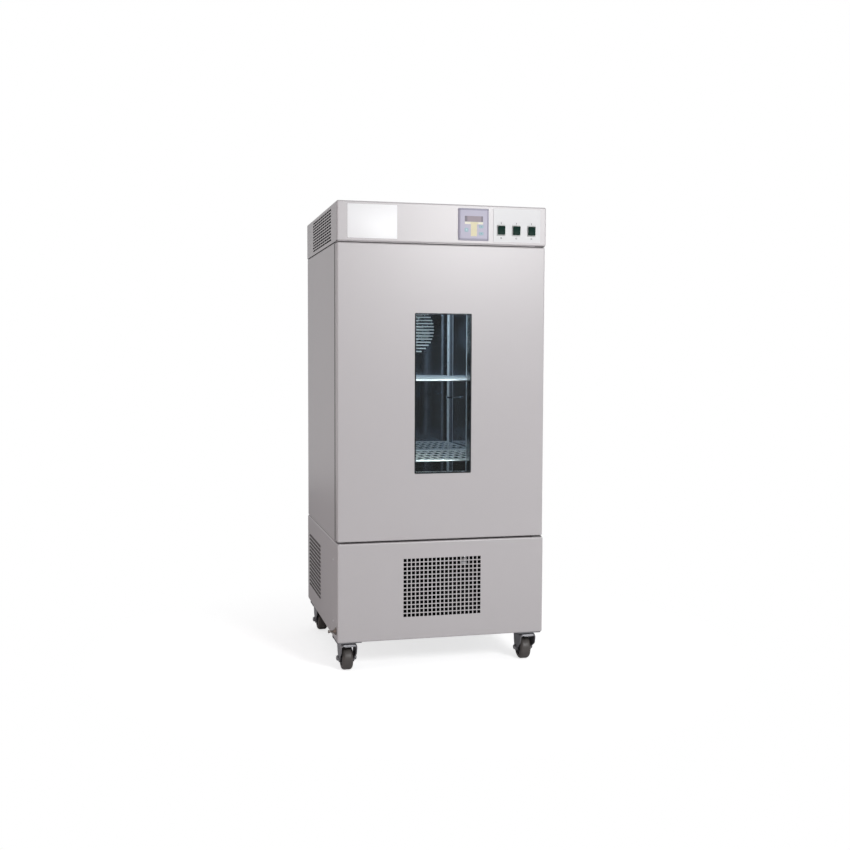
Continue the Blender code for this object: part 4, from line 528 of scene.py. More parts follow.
PAINT = Finish((0.560, 0.535, 0.545), 0.33, Texture.ORANGE_PEEL, mottle=0.03, edge=0.0004, wear=0.2, dust=0.06)
# Painted shade: dark stripes over the slopes of the base's side louvres, for the shade of each louvre.
LOUVRE_SHADE_LINES = Ruled((-0.010, 0.345, 0.0625), (0.660, 0.596, 0.2400), (2,), 0.01315, 0.47, (0.13, 0.124, 0.124))
# Painted shade: near-black squares a little wider than the grille's holes, for the shade at their punched edges and
# inside them.
HOLE_RIM_SHADE = Ruled((0.20305, -0.001, 0.06995), (0.44695, 0.030, 0.24885), (0, 2), 0.013, 0.7615, (0.008, 0.008, 0.009))


def strips(low: float) -> Finish:
    """The steel of the shelf uprights at one side, with a painted highlight along the edge that starts at low."""
    # Painted highlight: a pale band for the light caught along the upright's edge.
    pale = Ruled((low, 0.05, 0.30), (low + 0.0032, 0.40, 1.20), (), 1.0, 1.0, (0.95, 0.96, 0.98))
    return Finish((0.16, 0.17, 0.19), 0.35, Texture.ROLLED, mottle=0.05, edge=0.0003, ruled=pale)


class Named(Enum):
    """Finishes whose materials are named after the members."""

    def build(self) -> Material:
        """The member's material."""
        return self.value.build(self.name.lower())


class Slot(Named):
    """The record's material slots with the finish that each one gets."""

    PALE_GREY_PAINT = PAINT
    GALVANISED_STEEL = Finish((0.52, 0.53, 0.55), 0.38, Texture.ROLLED, metallic=0.95, spangle=0.22, dust=0.5)
    INSULATION_FOAM = Finish((0.78, 0.68, 0.42), 0.9, Texture.FOAM, mottle=0.2)
    STAINLESS_STEEL = Finish((0.56, 0.57, 0.60), 0.09, Texture.BRUSHED_UPRIGHT, 1.0, 0.05, 0.0005)
    DARK_PLASTIC = Finish((0.045, 0.045, 0.05), 0.45, Texture.MOULDED, edge=0.0005, dust=0.15)
    ALUMINIUM = Finish((0.74, 0.75, 0.77), 0.28, Texture.BRUSHED_LEVEL, 1.0, 0.1)
    COPPER_TUBE = Finish((0.70, 0.36, 0.22), 0.28, Texture.ROLLED, 1.0, 0.35)
    BLACK_RUBBER = Finish((0.095, 0.086, 0.081), 0.42, Texture.MOULDED, mottle=0.3, dust=0.2)
    ZINC_PLATE = Finish((0.36, 0.36, 0.38), 0.55, Texture.ROLLED, 1.0, 0.22, 0.0005, dust=0.10)
    WHITE_PLATE = Finish((0.92, 0.92, 0.93), 0.40, Texture.BRUSHED_LEVEL, mottle=0.02, edge=0.0003)
    LAVENDER_PLASTIC = Finish((0.50, 0.49, 0.59), 0.60, Texture.MOULDED, 0.0, 0.05, 0.0003, specular=0.3)
    TEAL_KEY = Finish((0.42, 0.57, 0.63), 0.6, Texture.MOULDED, 0.0, 0.05, 0.0002, specular=0.3)
    PALE_BEZEL = Finish((0.62, 0.65, 0.63), 0.4, Texture.MOULDED, mottle=0.04, edge=0.0004)
    DARK_GREEN_ROCKER = Finish((0.006, 0.030, 0.022), 0.50, Texture.MOULDED, 0.0, 0.1, 0.0004, specular=0.12)
    BLACK_ENAMEL = Finish((0.022, 0.022, 0.025), 0.35, Texture.CAST, 0.0, 0.2, 0.0012, wear=0.3, dust=0.45, coat=0.3)
    NICKELLED_BRASS = Finish((0.22, 0.19, 0.17), 0.40, Texture.CAST, 1.0, 0.3, 0.0004)
    WINDOW_GLASS = GlassFinish()


class Look(Named):
    """Finishes of single pieces and solids that differ from their slot's."""

    PALE_FAN_PLASTIC = Finish((0.40, 0.41, 0.42), 0.35, Texture.MOULDED, mottle=0.05, edge=0.0005)
    # Painted shade: the zinc hinges in the door gaps get a dark non-metal finish, for the shade of the gaps.
    HINGE_PAINTED_SHADE = Finish((0.16, 0.155, 0.155), 0.60, Texture.ROLLED, 0.0, 0.2, 0.0005, specular=0.2)
    WINDOW_SURROUND = Finish((0.20, 0.22, 0.24), 0.12, Texture.ROLLED, 1.0, 0.15, 0.0003)
    SWITCH_PLATE_WHITE = Finish((0.68, 0.68, 0.69), 0.40, Texture.BRUSHED_LEVEL, mottle=0.02, edge=0.0003)
    # Base side paint with the louvres' painted shade.
    LOUVRED_PAINT = replace(PAINT, wear=0.1, ruled=LOUVRE_SHADE_LINES)
    # Front grille paint with painted shade around the holes.
    PUNCHED_PAINT = replace(PAINT, edge=0.0002, wear=0.1, ruled=HOLE_RIM_SHADE)
    PLATED_WIRE = Finish((0.84, 0.85, 0.87), 0.34, Texture.ROLLED, 0.2, 0.08, 0.0002)
    BLADE_STEEL = Finish((0.62, 0.65, 0.68), 0.32, Texture.ROLLED, 0.4, 0.08, 0.0002)
    INNER_DOOR_STEEL = Finish((0.30, 0.32, 0.36), 0.12, Texture.MIRROR_LEVEL, 1.0, 0.05, 0.0004)
    LEFT_STRIPS = strips(0.0908)
    RIGHT_STRIPS = strips(0.5560)
    # Painted shade: a near-black, matt finish for the dark inside of the base behind the grille.
    GRILLE_PAINTED_SHADE = Finish((0.004, 0.004, 0.004), 0.95, Texture.MOULDED, 0.0, 0.1, 0.0002, specular=0.05)
    MIRROR_STEEL = Finish((0.66, 0.70, 0.76), 0.02, Texture.MIRROR_LEVEL, 1.0, 0.05, 0.0004)
    # Painted shade: near black for the inside of the control box seen through its vents.
    COVER_PAINTED_SHADE = Finish((0.018, 0.018, 0.020), 0.80, Texture.CAST, mottle=0.2, edge=0.0004)
    CONTROLLER_FILM = Finish((0.57, 0.55, 0.66), 0.62, Texture.MOULDED, edge=0.0002, specular=0.25)
    DISPLAY_LENS = FadeFinish((0.38, 0.33, 0.37), (0.26, 0.24, 0.28), 0.418, 0.0205, 0.0235, 0.5)
    STRIPE_PRINT = FadeFinish((0.80, 0.74, 0.52), (0.88, 0.85, 0.72), 0.4185, 0.010, 0.014, 0.6)
    MARK_PALE = Finish((0.62, 0.78, 0.84), 0.6, Texture.MOULDED, edge=0.0001, specular=0.2)
    MARK_TEAL = Finish((0.24, 0.40, 0.46), 0.6, Texture.MOULDED, edge=0.0001, specular=0.2)
    MARK_INK = Finish((0.05, 0.05, 0.06), 0.5, Texture.MOULDED, edge=0.0001)


OWN_LOOKS = {
    Look.PALE_FAN_PLASTIC: ("circulation_fan",),
    Look.WINDOW_SURROUND: ("window_frame",),
    Look.PUNCHED_PAINT: ("base_front_panel",),
    Look.SWITCH_PLATE_WHITE: ("switch_plate",),
    Look.LOUVRED_PAINT: ("base_left_panel", "base_right_panel"),
    Look.HINGE_PAINTED_SHADE: ("top_hinge", "bottom_hinge"),
    Look.MIRROR_STEEL: ("duct_panel", "chamber_liner"),
    Look.LEFT_STRIPS: ("shelf_upright_left_front", "shelf_upright_left_back"),
    Look.RIGHT_STRIPS: ("shelf_upright_right_front", "shelf_upright_right_back"),
    Look.INNER_DOOR_STEEL: ("door_inner_panel",),
}


class Finishes:
    """Builds each slot's material once and dresses the solids with them."""

    def __init__(self) -> None:
        """Build every slot's material."""
        self.made = {slot.name.lower(): slot.build() for slot in Slot}

    def dress_solids(self) -> None:
        """Give each solid of the record the material of its slot, or its own where it differs."""
        own = {}
        for look, nodes in OWN_LOOKS.items():
            own.update(dict.fromkeys(nodes, look.build()))
        for subpart in frame["record"]["subparts"]:
            node = frame["nodes"][subpart["node"]]
            material = own.get(subpart["node"], self.made[subpart["material_slot"]])
            if not node.material_slots:
                node.data.materials.append(material)
            for place in node.material_slots:
                place.material = material


@dataclass
class Studio:
    """Floor, world, lamps and camera."""

    even_light: float = 0.33
    room_light: Pair = (0.14, 0.68)
    floor_reach: float = 4.5
    floor_tone: Triple = (0.86, 0.86, 0.86)
    floor_lift: float = 0.68
    floor_fade: Pair = (0.5, 1.1)
    lens: float = 46.275
    sensor: float = 36.0
    yaw: float = math.radians(13.84)
    pitch: float = math.radians(-3.53)
    roll: float = math.radians(0.20)
    eye: Triple = (-0.521, -3.2045, 0.859)

    def build(self) -> None:
        """Make the whole studio."""
        self.build_world()
        self.build_floor()
        self.build_lamps()
        self.build_camera()
        bpy.context.scene.view_settings.view_transform = "Standard"

    def build_world(self) -> None:
        """A white backdrop for what the camera sees, a dim room in front for gloss, and even light on the rest."""
        world = bpy.data.worlds.new("studio")
        world.use_nodes = True
        bpy.context.scene.world = world
        wiring = Wiring(world.node_tree)
        world.node_tree.nodes.clear()
        path = wiring.add("LightPath").outputs
        behind = wiring.ramp(wiring.parts(wiring.place("Generated"))["Y"], -0.25, 0.25, *self.room_light)
        seen = wiring.math("MAXIMUM", path["Is Glossy Ray"], path["Is Transmission Ray"])
        even, room, white = (
            wiring.add("Background", {"Color": colour, "Strength": strength}).outputs[0]
            for colour, strength in (((0.98, 0.98, 1.0), self.even_light), ((0.98, 0.99, 1.0), behind),
                                     ((1.0, 1.0, 1.0), 1.0)))
        gloss = wiring.add("MixShader", {0: seen, 1: even, 2: room}).outputs[0]
        whole = wiring.add("MixShader", {0: path["Is Camera Ray"], 1: gloss, 2: white}).outputs[0]
        wiring.add("OutputWorld", {"Surface": whole})

    def build_floor(self) -> None:
        """A pale floor that is white far off and keeps a soft shadow near the object."""
        corners = np.array([[-1, -1, 0], [1, -1, 0], [1, 1, 0], [-1, 1, 0]]) * self.floor_reach
        mesh = bpy.data.meshes.new("studio_floor")
        mesh.from_pydata(corners.tolist(), [], [(0, 1, 2, 3)])
        floor = bpy.data.objects.new("studio_floor", mesh)
        bpy.context.scene.collection.objects.link(floor)
        material = bpy.data.materials.new("floor_white")
        material.use_nodes = True
        wiring = Wiring(material.node_tree)
        material.node_tree.nodes.clear()
        distance = wiring.add("VectorMath", {0: wiring.place()}, operation="LENGTH").outputs["Value"]
        far = wiring.ramp(distance, *self.floor_fade, clamp=True, interpolation_type="SMOOTHSTEP")
        matt = wiring.add("BsdfDiffuse", {"Color": self.floor_tone}).outputs[0]
        lift, white = (wiring.add("Emission", {"Color": (1.0, 1.0, 1.0), "Strength": strength}).outputs[0]
                       for strength in (self.floor_lift, 1.0))
        near = wiring.add("AddShader", {0: matt, 1: lift}).outputs[0]
        looked_at = wiring.add("MixShader", {0: far, 1: near, 2: white}).outputs[0]
        camera = wiring.add("LightPath").outputs["Is Camera Ray"]
        whole = wiring.add("MixShader", {0: camera, 1: matt, 2: looked_at}).outputs[0]
        wiring.add("OutputMaterial", {"Surface": whole})
        mesh.materials.append(material)

    def add_lamp(self, name: str, place: Triple, target: Triple, size: Pair, power: float,
                 colour: Triple = (1.0, 1.0, 1.0)) -> None:
        """A soft rectangular lamp that points at a target."""
        data = bpy.data.lights.new(name, "AREA")
        data.shape = "RECTANGLE"
        data.size, data.size_y = size
        data.energy, data.color = power, colour
        lamp = bpy.data.objects.new(name, data)
        lamp.location = place
        lamp.rotation_euler = (Vector(place) - Vector(target)).to_track_quat("Z", "Y").to_euler()
        bpy.context.scene.collection.objects.link(lamp)

    def build_lamps(self) -> None:
        """A softbox high at the front right, a weak warm one at the left, and a dim glow in the chamber."""
        self.add_lamp("softbox_front", (1.00, -3.35, 1.92), (0.05, -0.33, 1.25), (0.9, 0.75), 60.0)
        low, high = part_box("chamber_liner")
        middle = (low[0] + high[0]) / 2
        self.add_lamp("chamber_glow", (middle, low[1] + 0.12, high[2] - 0.03), (middle, low[1] + 0.20, low[2]),
                      (0.30, 0.06), 1.3, (0.80, 0.92, 1.0))
        self.add_lamp("softbox_left", (-2.6, -0.9, 0.6), (0.0, 0.0, 0.45), (1.2, 1.0), 6.0, (1.0, 0.74, 0.70))

    def build_camera(self) -> None:
        """The camera of the photograph, from its place, its turn, its tilt and its roll."""
        forward = Vector((math.sin(self.yaw) * math.cos(self.pitch), math.cos(self.yaw) * math.cos(self.pitch),
                          math.sin(self.pitch)))
        right = Vector((math.cos(self.yaw), -math.sin(self.yaw), 0.0))
        up = right.cross(forward)
        level, tip = math.cos(self.roll), math.sin(self.roll)
        axes = Matrix((level * right + tip * up, level * up - tip * right, -forward))
        data = bpy.data.cameras.new("camera")
        data.lens, data.sensor_width = self.lens, self.sensor
        camera = bpy.data.objects.new("camera", data)
        camera.matrix_world = Matrix.Translation(Vector(at(*self.eye))) @ axes.transposed().to_4x4()
        bpy.context.scene.collection.objects.link(camera)
        bpy.context.scene.camera = camera


@dataclass
class Dress:
    """What the sub-assemblies share: the finishes, and how a piece comes into the scene."""

    finishes: Finishes

    def piece(self, name: str, surface: Surface, slot: str, body: str = "cabinet", look: Look | str | None = None,
              smooth: float = 35.0) -> Object:
        """Put a surface into the scene as a piece that rides on a body.

        Args:
            name: the piece's name.
            surface: its points and faces.
            slot: the record's material slot that it takes its finish from.
            body: the body that it rides on.
            look: its own finish, or another slot's, where it differs from the slot's.
            smooth: edges sharper than this angle in degrees stay sharp.

        Returns:
            The new object, at the origin.
        """
        mesh = bpy.data.meshes.new(name)
        mesh.from_pydata(surface.points.tolist(), [], surface.faces)
        mesh.shade_smooth()
        mesh.set_sharp_from_angle(angle=math.radians(smooth))
        mesh.materials.append(look.build() if isinstance(look, Look) else self.finishes.made[look or slot])
        piece = bpy.data.objects.new(name, mesh)
        bpy.context.scene.collection.objects.link(piece)
        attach(piece, body)
        log.info("%s: %d faces on %s", name, len(mesh.polygons), body)
        return piece


@dataclass
class CabinetDress(Dress):
    """Name plate, side screws, control cover with its short vents, and what shows behind the grille."""

    plate_middle: Pair = (0.106, 1.261)
    plate_size: Pair = (0.150, 0.100)
    width: float = 0.650
    depth: float = 0.648
    cover_low: float = 1.202
    cover_high: float = 1.320
    cover_front: float = 0.0124
    bend: float = 0.004
    sheet: float = 0.0012
    vent_rows: int = 11
    vent_pitch: float = 0.00905
    vent_height: float = 0.0050
    vent_count: int = 9
    vent_step: float = 0.0430
    vent_length: float = 0.0375
    vent_front: float = 0.110
    vent_shift: float = 0.0070
    vent_drop: float = 0.0010
    screw_radius: float = 0.0036

    def build(self) -> None:
        """Make every piece of this dress."""
        x, z = self.plate_middle
        plate = soft_plate(*self.plate_size, 0.002, 0.0002, 0.0011, 0.0004, front_seat(x, 0.0, z))
        self.piece("name_plate", plate, "white_plate")
        self.build_cover()
        self.build_screws()
        self.build_seams()
        self.build_behind_grille()

    def cover_profile(self, inset: float) -> np.ndarray:
        """The bent sheet's outline across the cabinet, moved inwards by inset.

        It runs up the left wall, over a quarter circle, across the top, over the other quarter circle and
        down the right wall. The walls have a point at each edge of every vent row.
        """
        rows = (self.cover_low + self.cover_high) / 2 - self.vent_drop + self.vent_pitch * (
            np.arange(self.vent_rows) - (self.vent_rows - 1) / 2)
        edges = np.sort(np.concatenate([rows - self.vent_height / 2, rows + self.vent_height / 2]))
        wall = points(inset, np.concatenate([[self.cover_low], edges]))
        angle = np.radians(np.linspace(180, 90, 5))
        radius = max(self.bend - inset, 0.00001)
        bend = points(self.bend + radius * np.cos(angle), self.cover_high - self.bend + radius * np.sin(angle))
        half = np.vstack([wall, bend])
        return np.vstack([half, points(self.width - half[::-1, 0], half[::-1, 1])])

    def build_cover(self) -> None:
        """The vented cover: the profile carried backwards, with a hole wherever a vent lies.

        Every other row of vents is shifted backwards a little. The back is closed over a bend. The inner
        faces and the rims of the vents are painted near black, as painted shade for the dark inside of the box.
        """
        starts = self.vent_front + self.vent_step * np.arange(self.vent_count)
        starts = np.concatenate([starts, starts + self.vent_shift])
        cuts = np.unique(np.round(np.concatenate([starts, starts + self.vent_length]), 6))
        stations = np.concatenate([[self.cover_front], cuts, [self.depth - self.bend]])
        profile = self.cover_profile(0.0)
        rings = [points(profile[:, 0], y, profile[:, 1]) for y in stations]
        for angle in np.radians([30, 60, 90]):
            inner = self.cover_profile(self.bend * (1 - math.cos(angle)))
            rings.append(points(inner[:, 0], self.depth - self.bend * (1 - math.sin(angle)), inner[:, 1]))
        grid = np.array(rings) + CORNER
        along = np.concatenate([(stations[:-1] + stations[1:]) / 2, np.full(3, self.depth)])
        rise = (profile[:-1, 1] + profile[1:, 1]) / 2
        upright = np.abs(profile[1:, 0] - profile[:-1, 0]) < 1e-6
        middle = (self.cover_low + self.cover_high) / 2 - self.vent_drop
        row = np.round((rise - middle) / self.vent_pitch)
        half_rows = (self.vent_rows - 1) / 2
        in_row = (np.abs(rise - middle - row * self.vent_pitch) < self.vent_height / 2) & (np.abs(row) <= half_rows)
        offset = along[:, None] - self.vent_front - (row + half_rows)[None, :] % 2 * self.vent_shift
        in_vent = (offset % self.vent_step < self.vent_length) & (offset > 0) & (
            offset < self.vent_step * self.vent_count)
        skin = lofted(grid, caps=False, cyclic=False, keep=~((upright & in_row)[None, :] & in_vent))
        last = (len(grid) - 1) * grid.shape[1]
        skin.faces.append(tuple(range(last, last + grid.shape[1])))
        cover = self.piece("vented_cover", skin, "pale_grey_paint")
        wall = thicken(cover, self.sheet, rim=0.00015)
        # Inner faces and vent rims get the near-black painted shade.
        cover.data.materials.append(Look.COVER_PAINTED_SHADE.build())
        wall.material_offset = wall.material_offset_rim = 1
        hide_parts("control_cover")

    def build_screws(self) -> None:
        """Domed screws on the sides of the base, and a small dark bolt under its front left corner."""
        radius = self.screw_radius
        dome = [(radius, 0.0001), (radius, 0.0007), (radius * 0.85, 0.0015), (radius * 0.5, 0.0021),
                (radius * 0.1, 0.0023)]
        screws = [turned(dome, side_seat(side, at(x, y, z)), 16) for side, x in ((-1, 0.0), (1, self.width))
                  for y in (0.075, 0.622) for z in (0.243, 0.052)]
        self.piece("side_screws", gather(screws), "zinc_plate", look=Look.PLATED_WIRE)
        bolt = turned([(0.0034, 0.0003), (0.0034, 0.0060), (0.0022, 0.0066), (0.0022, 0.0095), (0.0016, 0.0100)],
                      flat_seat(at(0.0045, 0.1050, 0.0), -1), 6)
        self.piece("corner_bolt", bolt, "black_enamel")

    def build_seams(self) -> None:
        """The sheets that close the control box below and the base above, and black seals at the door's side edges,
        which also serve as painted shade for the gap between door and body.
        """
        left, right, front, back = 0.0020, 0.6160, 0.0020, 0.0485
        outline = rounded_outline(right - left, back - front, 0.001, 2)
        for name, low, high in (("control_box_floor", 1.2003, 1.2018), ("base_cover", 0.2980, 0.2998)):
            seat = flat_seat(at((left + right) / 2, (front + back) / 2, low))
            self.piece(name, prism(outline, [(0.0, 0.0), (0.0, high - low)], seat), "pale_grey_paint")
        # The seals are black rubber and also painted shade: they darken the door's sides where the gap to the body
        # lies.
        for name, side, x, low, high in (("door_seal_left", -1, 0.0001, 0.3065, 1.1970),
                                         ("door_seal_right", 1, 0.6477, 0.3210, 1.1820)):
            seat = side_seat(side, at(x, 0.0425, (low + high) / 2))
            seal = soft_plate(0.0124, high - low, 0.002, 0.0, 0.0005, 0.0002, seat)
            self.piece(name, seal, "black_rubber", "door")

    def build_behind_grille(self) -> None:
        """A near-black pad behind the grille, rippled by a sine wave, as painted shade for the dark inside of the base,
        with a bright clip at its upper right.
        """
        left, right, front, back, low, high = 0.070, 0.580, 0.030, 0.038, 0.045, 0.285
        ripples, swell = 40, 0.0015
        share = np.linspace(0.0, 1.0, 2 * ripples + 1)
        across = left + (right - left) * share
        wave = front + swell * np.sin(2 * math.pi * ripples * share)
        rings = [np.vstack([points(across, wave, z), points(across[::-1], back, z)]) for z in (low, high)]
        # The pad is painted shade for the dark inside of the base.
        self.piece("dust_pad", lofted(np.array(rings) + CORNER), "black_rubber", look=Look.GRILLE_PAINTED_SHADE, smooth=60.0)
        clip = soft_plate(0.0175, 0.028, 0.003, -0.001, 0.006, 0.002, front_seat(0.4015, 0.0285, 0.2320))
        stud = turned([(0.005, 0.0), (0.005, 0.004), (0.0035, 0.006), (0.0005, 0.0065)],
                      front_seat(0.3985, 0.0235, 0.2380), 20)
        self.piece("pad_clip", clip + stud, "aluminium")


@dataclass
class ControllerDress(Dress):
    """The temperature controller: case with its raised rim, film, display lens, stripe and keys."""

    middle: Pair = (0.417, 1.261)
    print_shift: float = -0.0012
    face: float = 0.096
    film_size: float = 0.0852
    lens_size: Pair = (0.0572, 0.0168)
    lens_place: Pair = (0.001, 0.0163)
    case_depth: float = 0.075
    rim: float = 0.0073
    film: float = 0.0063

    def build(self) -> None:
        """Make every piece of the controller."""
        x, z = self.middle
        seat = front_seat(x, 0.0, z)
        outline = rounded_outline(self.face, self.face, 0.0025)
        levels = [(0.003, -self.case_depth), (0.003, 0.0003), (0.0, 0.0003), (0.0, 0.0022), (0.0035, self.rim - 0.0004),
                  (0.0040, self.rim), (0.0048, self.rim), (0.0052, self.film - 0.0012)]
        case = self.piece("controller_case", prism(outline, levels, seat), "lavender_plastic", smooth=25.0)
        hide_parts("controller")
        film = soft_plate(self.film_size, self.film_size, 0.002, self.film - 0.0010, self.film, 0.0002, seat)
        self.piece("controller_film", film, "lavender_plastic", look=Look.CONTROLLER_FILM)
        lens_x, lens_z = self.lens_place
        lens = soft_plate(*self.lens_size, 0.0008, self.film - 0.0002, self.film + 0.0003, 0.0002,
                          front_seat(x + lens_x + self.print_shift, 0.0, z + lens_z))
        self.piece("display_lens", lens, "dark_plastic", look=Look.DISPLAY_LENS)
        self.build_stripe()
        self.build_keys()

    def build_stripe(self) -> None:
        """The printed stripe in the shape of a T below the display."""
        x, z = self.middle
        left, right, stem_left, stem_right = -0.0274, 0.0297, -0.0086, 0.0109
        top, bar, foot = 0.0073, 0.0005, -0.0355
        outline = np.array([(stem_left, foot), (stem_right, foot), (stem_right, bar), (right, bar), (right, top),
                            (left, top), (left, bar), (stem_left, bar)])
        stripe = prism(outline, [(0.0, self.film - 0.0001), (0.0, self.film + 0.00012)],
                       front_seat(x + self.print_shift, 0.0, z))
        self.piece("controller_stripe", stripe, "white_plate", look=Look.STRIPE_PRINT)

    def build_keys(self) -> None:
        """Three domed keys, the step keys with a small arrow and the set key with a pale dot."""
        x, z = self.middle
        front = self.film + 0.0008
        levels = [(0.0, front - 0.0045), (0.0, front - 0.0005), (0.0004, front - 0.00015), (0.0012, front),
                  (0.0025, front + 0.0001)]
        arrow = np.array([(-0.0024, -0.0016), (0.0024, -0.0016), (0.0, 0.0016)])
        dot = rounded_outline(0.0042, 0.0042, 0.0018)
        keys = (("set", -0.0232, -0.0170, 0.012, 0.012, dot, Look.MARK_PALE),
                ("up", 0.0232, -0.0065, 0.014, 0.0095, arrow, Look.MARK_TEAL),
                ("down", 0.0232, -0.0273, 0.014, 0.0095, (arrow * (1, -1))[::-1], Look.MARK_TEAL))
        for name, across, up, width, height, mark, look in keys:
            body = f"controller_key_{name}"
            seat = front_seat(x + across, 0.0, z + up)
            cap = prism(rounded_outline(width, height, 0.0028, 6), levels, seat)
            key = self.piece(f"{body}_cap", cap, "teal_key", body)
            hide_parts(body)
            printed = prism(mark, [(0.0, front), (0.0, front + 0.00022)], seat)
            self.piece(f"{body}_mark", printed, "teal_key", body, look)


@dataclass
class SwitchDress(Dress):
    """Rocker switches: rounded rim, dished rocker, and I and O marks on the plate."""

    places: Triple = (0.5048, 0.5533, 0.6018)
    height: float = 1.2465
    housing: Pair = (0.026, 0.0315)
    pivot_y: float = -0.0021
    half_height: float = 0.0122
    half_width: float = 0.0110
    crown: float = 0.0075
    dish: float = 0.0016
    skirt: float = 0.0045
    tilt: float = math.radians(8)
    plate_front: float = 0.0013
    mark_places: Pair = (0.0215, -0.0235)
    ink: float = 0.00015

    def build(self) -> None:
        """Make rim, rocker and marks of each switch."""
        for number, x in enumerate(self.places, start=1):
            self.build_rim(number, x)
            self.build_rocker(number, x)
        self.build_marks()

    def build_rim(self, number: int, x: float) -> None:
        """A rounded rim in front of the switch housing: its outline carried over a half round, open in the middle."""
        levels = [(0.0, 0.0017), (0.0, 0.0036), (0.0003, 0.0044), (0.0008, 0.0047), (0.0012, 0.0044), (0.0014, 0.0038)]
        rim = prism(rounded_outline(*self.housing, 0.0018, 4), levels, front_seat(x, 0.0, self.height), closed=True)
        self.piece(f"switch_rim_{number}", rim, "pale_bezel")

    def build_rocker(self, number: int, x: float) -> None:
        """A dished rocker: its side outline carried across, drawn in at both ends.

        The front is an arc that dips by the dish depth: crown minus dish times one minus the squared height share.
        """
        share = np.linspace(-1, 1, 17)
        top = points(share * self.half_height, self.crown - self.dish * (1 - share ** 2))
        back = np.array([(self.half_height, 0.0), (self.half_height / 2, -self.skirt),
                         (-self.half_height / 2, -self.skirt), (-self.half_height, 0.0)])
        outline = np.vstack([top, back])
        turn = np.array([[math.cos(self.tilt), math.sin(self.tilt)], [-math.sin(self.tilt), math.cos(self.tilt)]])
        rings = []
        ends = [(0.0012, 1.0), (0.0004, 0.93), (0.0, 0.82)]
        for inset, across in [(inset, -across) for inset, across in ends] + ends[::-1]:
            ring = inset_outline(outline, -inset) @ turn
            rings.append(points(across * self.half_width, -ring[:, 1], ring[:, 0]))
        grid = np.array(rings) + at(x, self.pivot_y, self.height)
        body = f"rocker_{number}"
        rocker = self.piece(f"{body}_cap", lofted(grid), "dark_green_rocker", body, smooth=50.0)
        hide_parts(body)

    def build_marks(self) -> None:
        """Plain I and O marks above and below each switch."""
        marks = []
        for x in self.places:
            above, below = (front_seat(x, -self.plate_front, self.height + shift) for shift in self.mark_places)
            marks.append(prism(rounded_outline(0.0014, 0.0052, 0.0003, 2), [(0.0, 0.0), (0.0, self.ink)], above))
            marks.append(turned([(0.0026, 0.0), (0.0026, self.ink), (0.0016, self.ink), (0.0016, 0.0)], below, 28,
                                closed=True))
        self.piece("switch_marks", gather(marks), "dark_plastic", look=Look.MARK_INK)


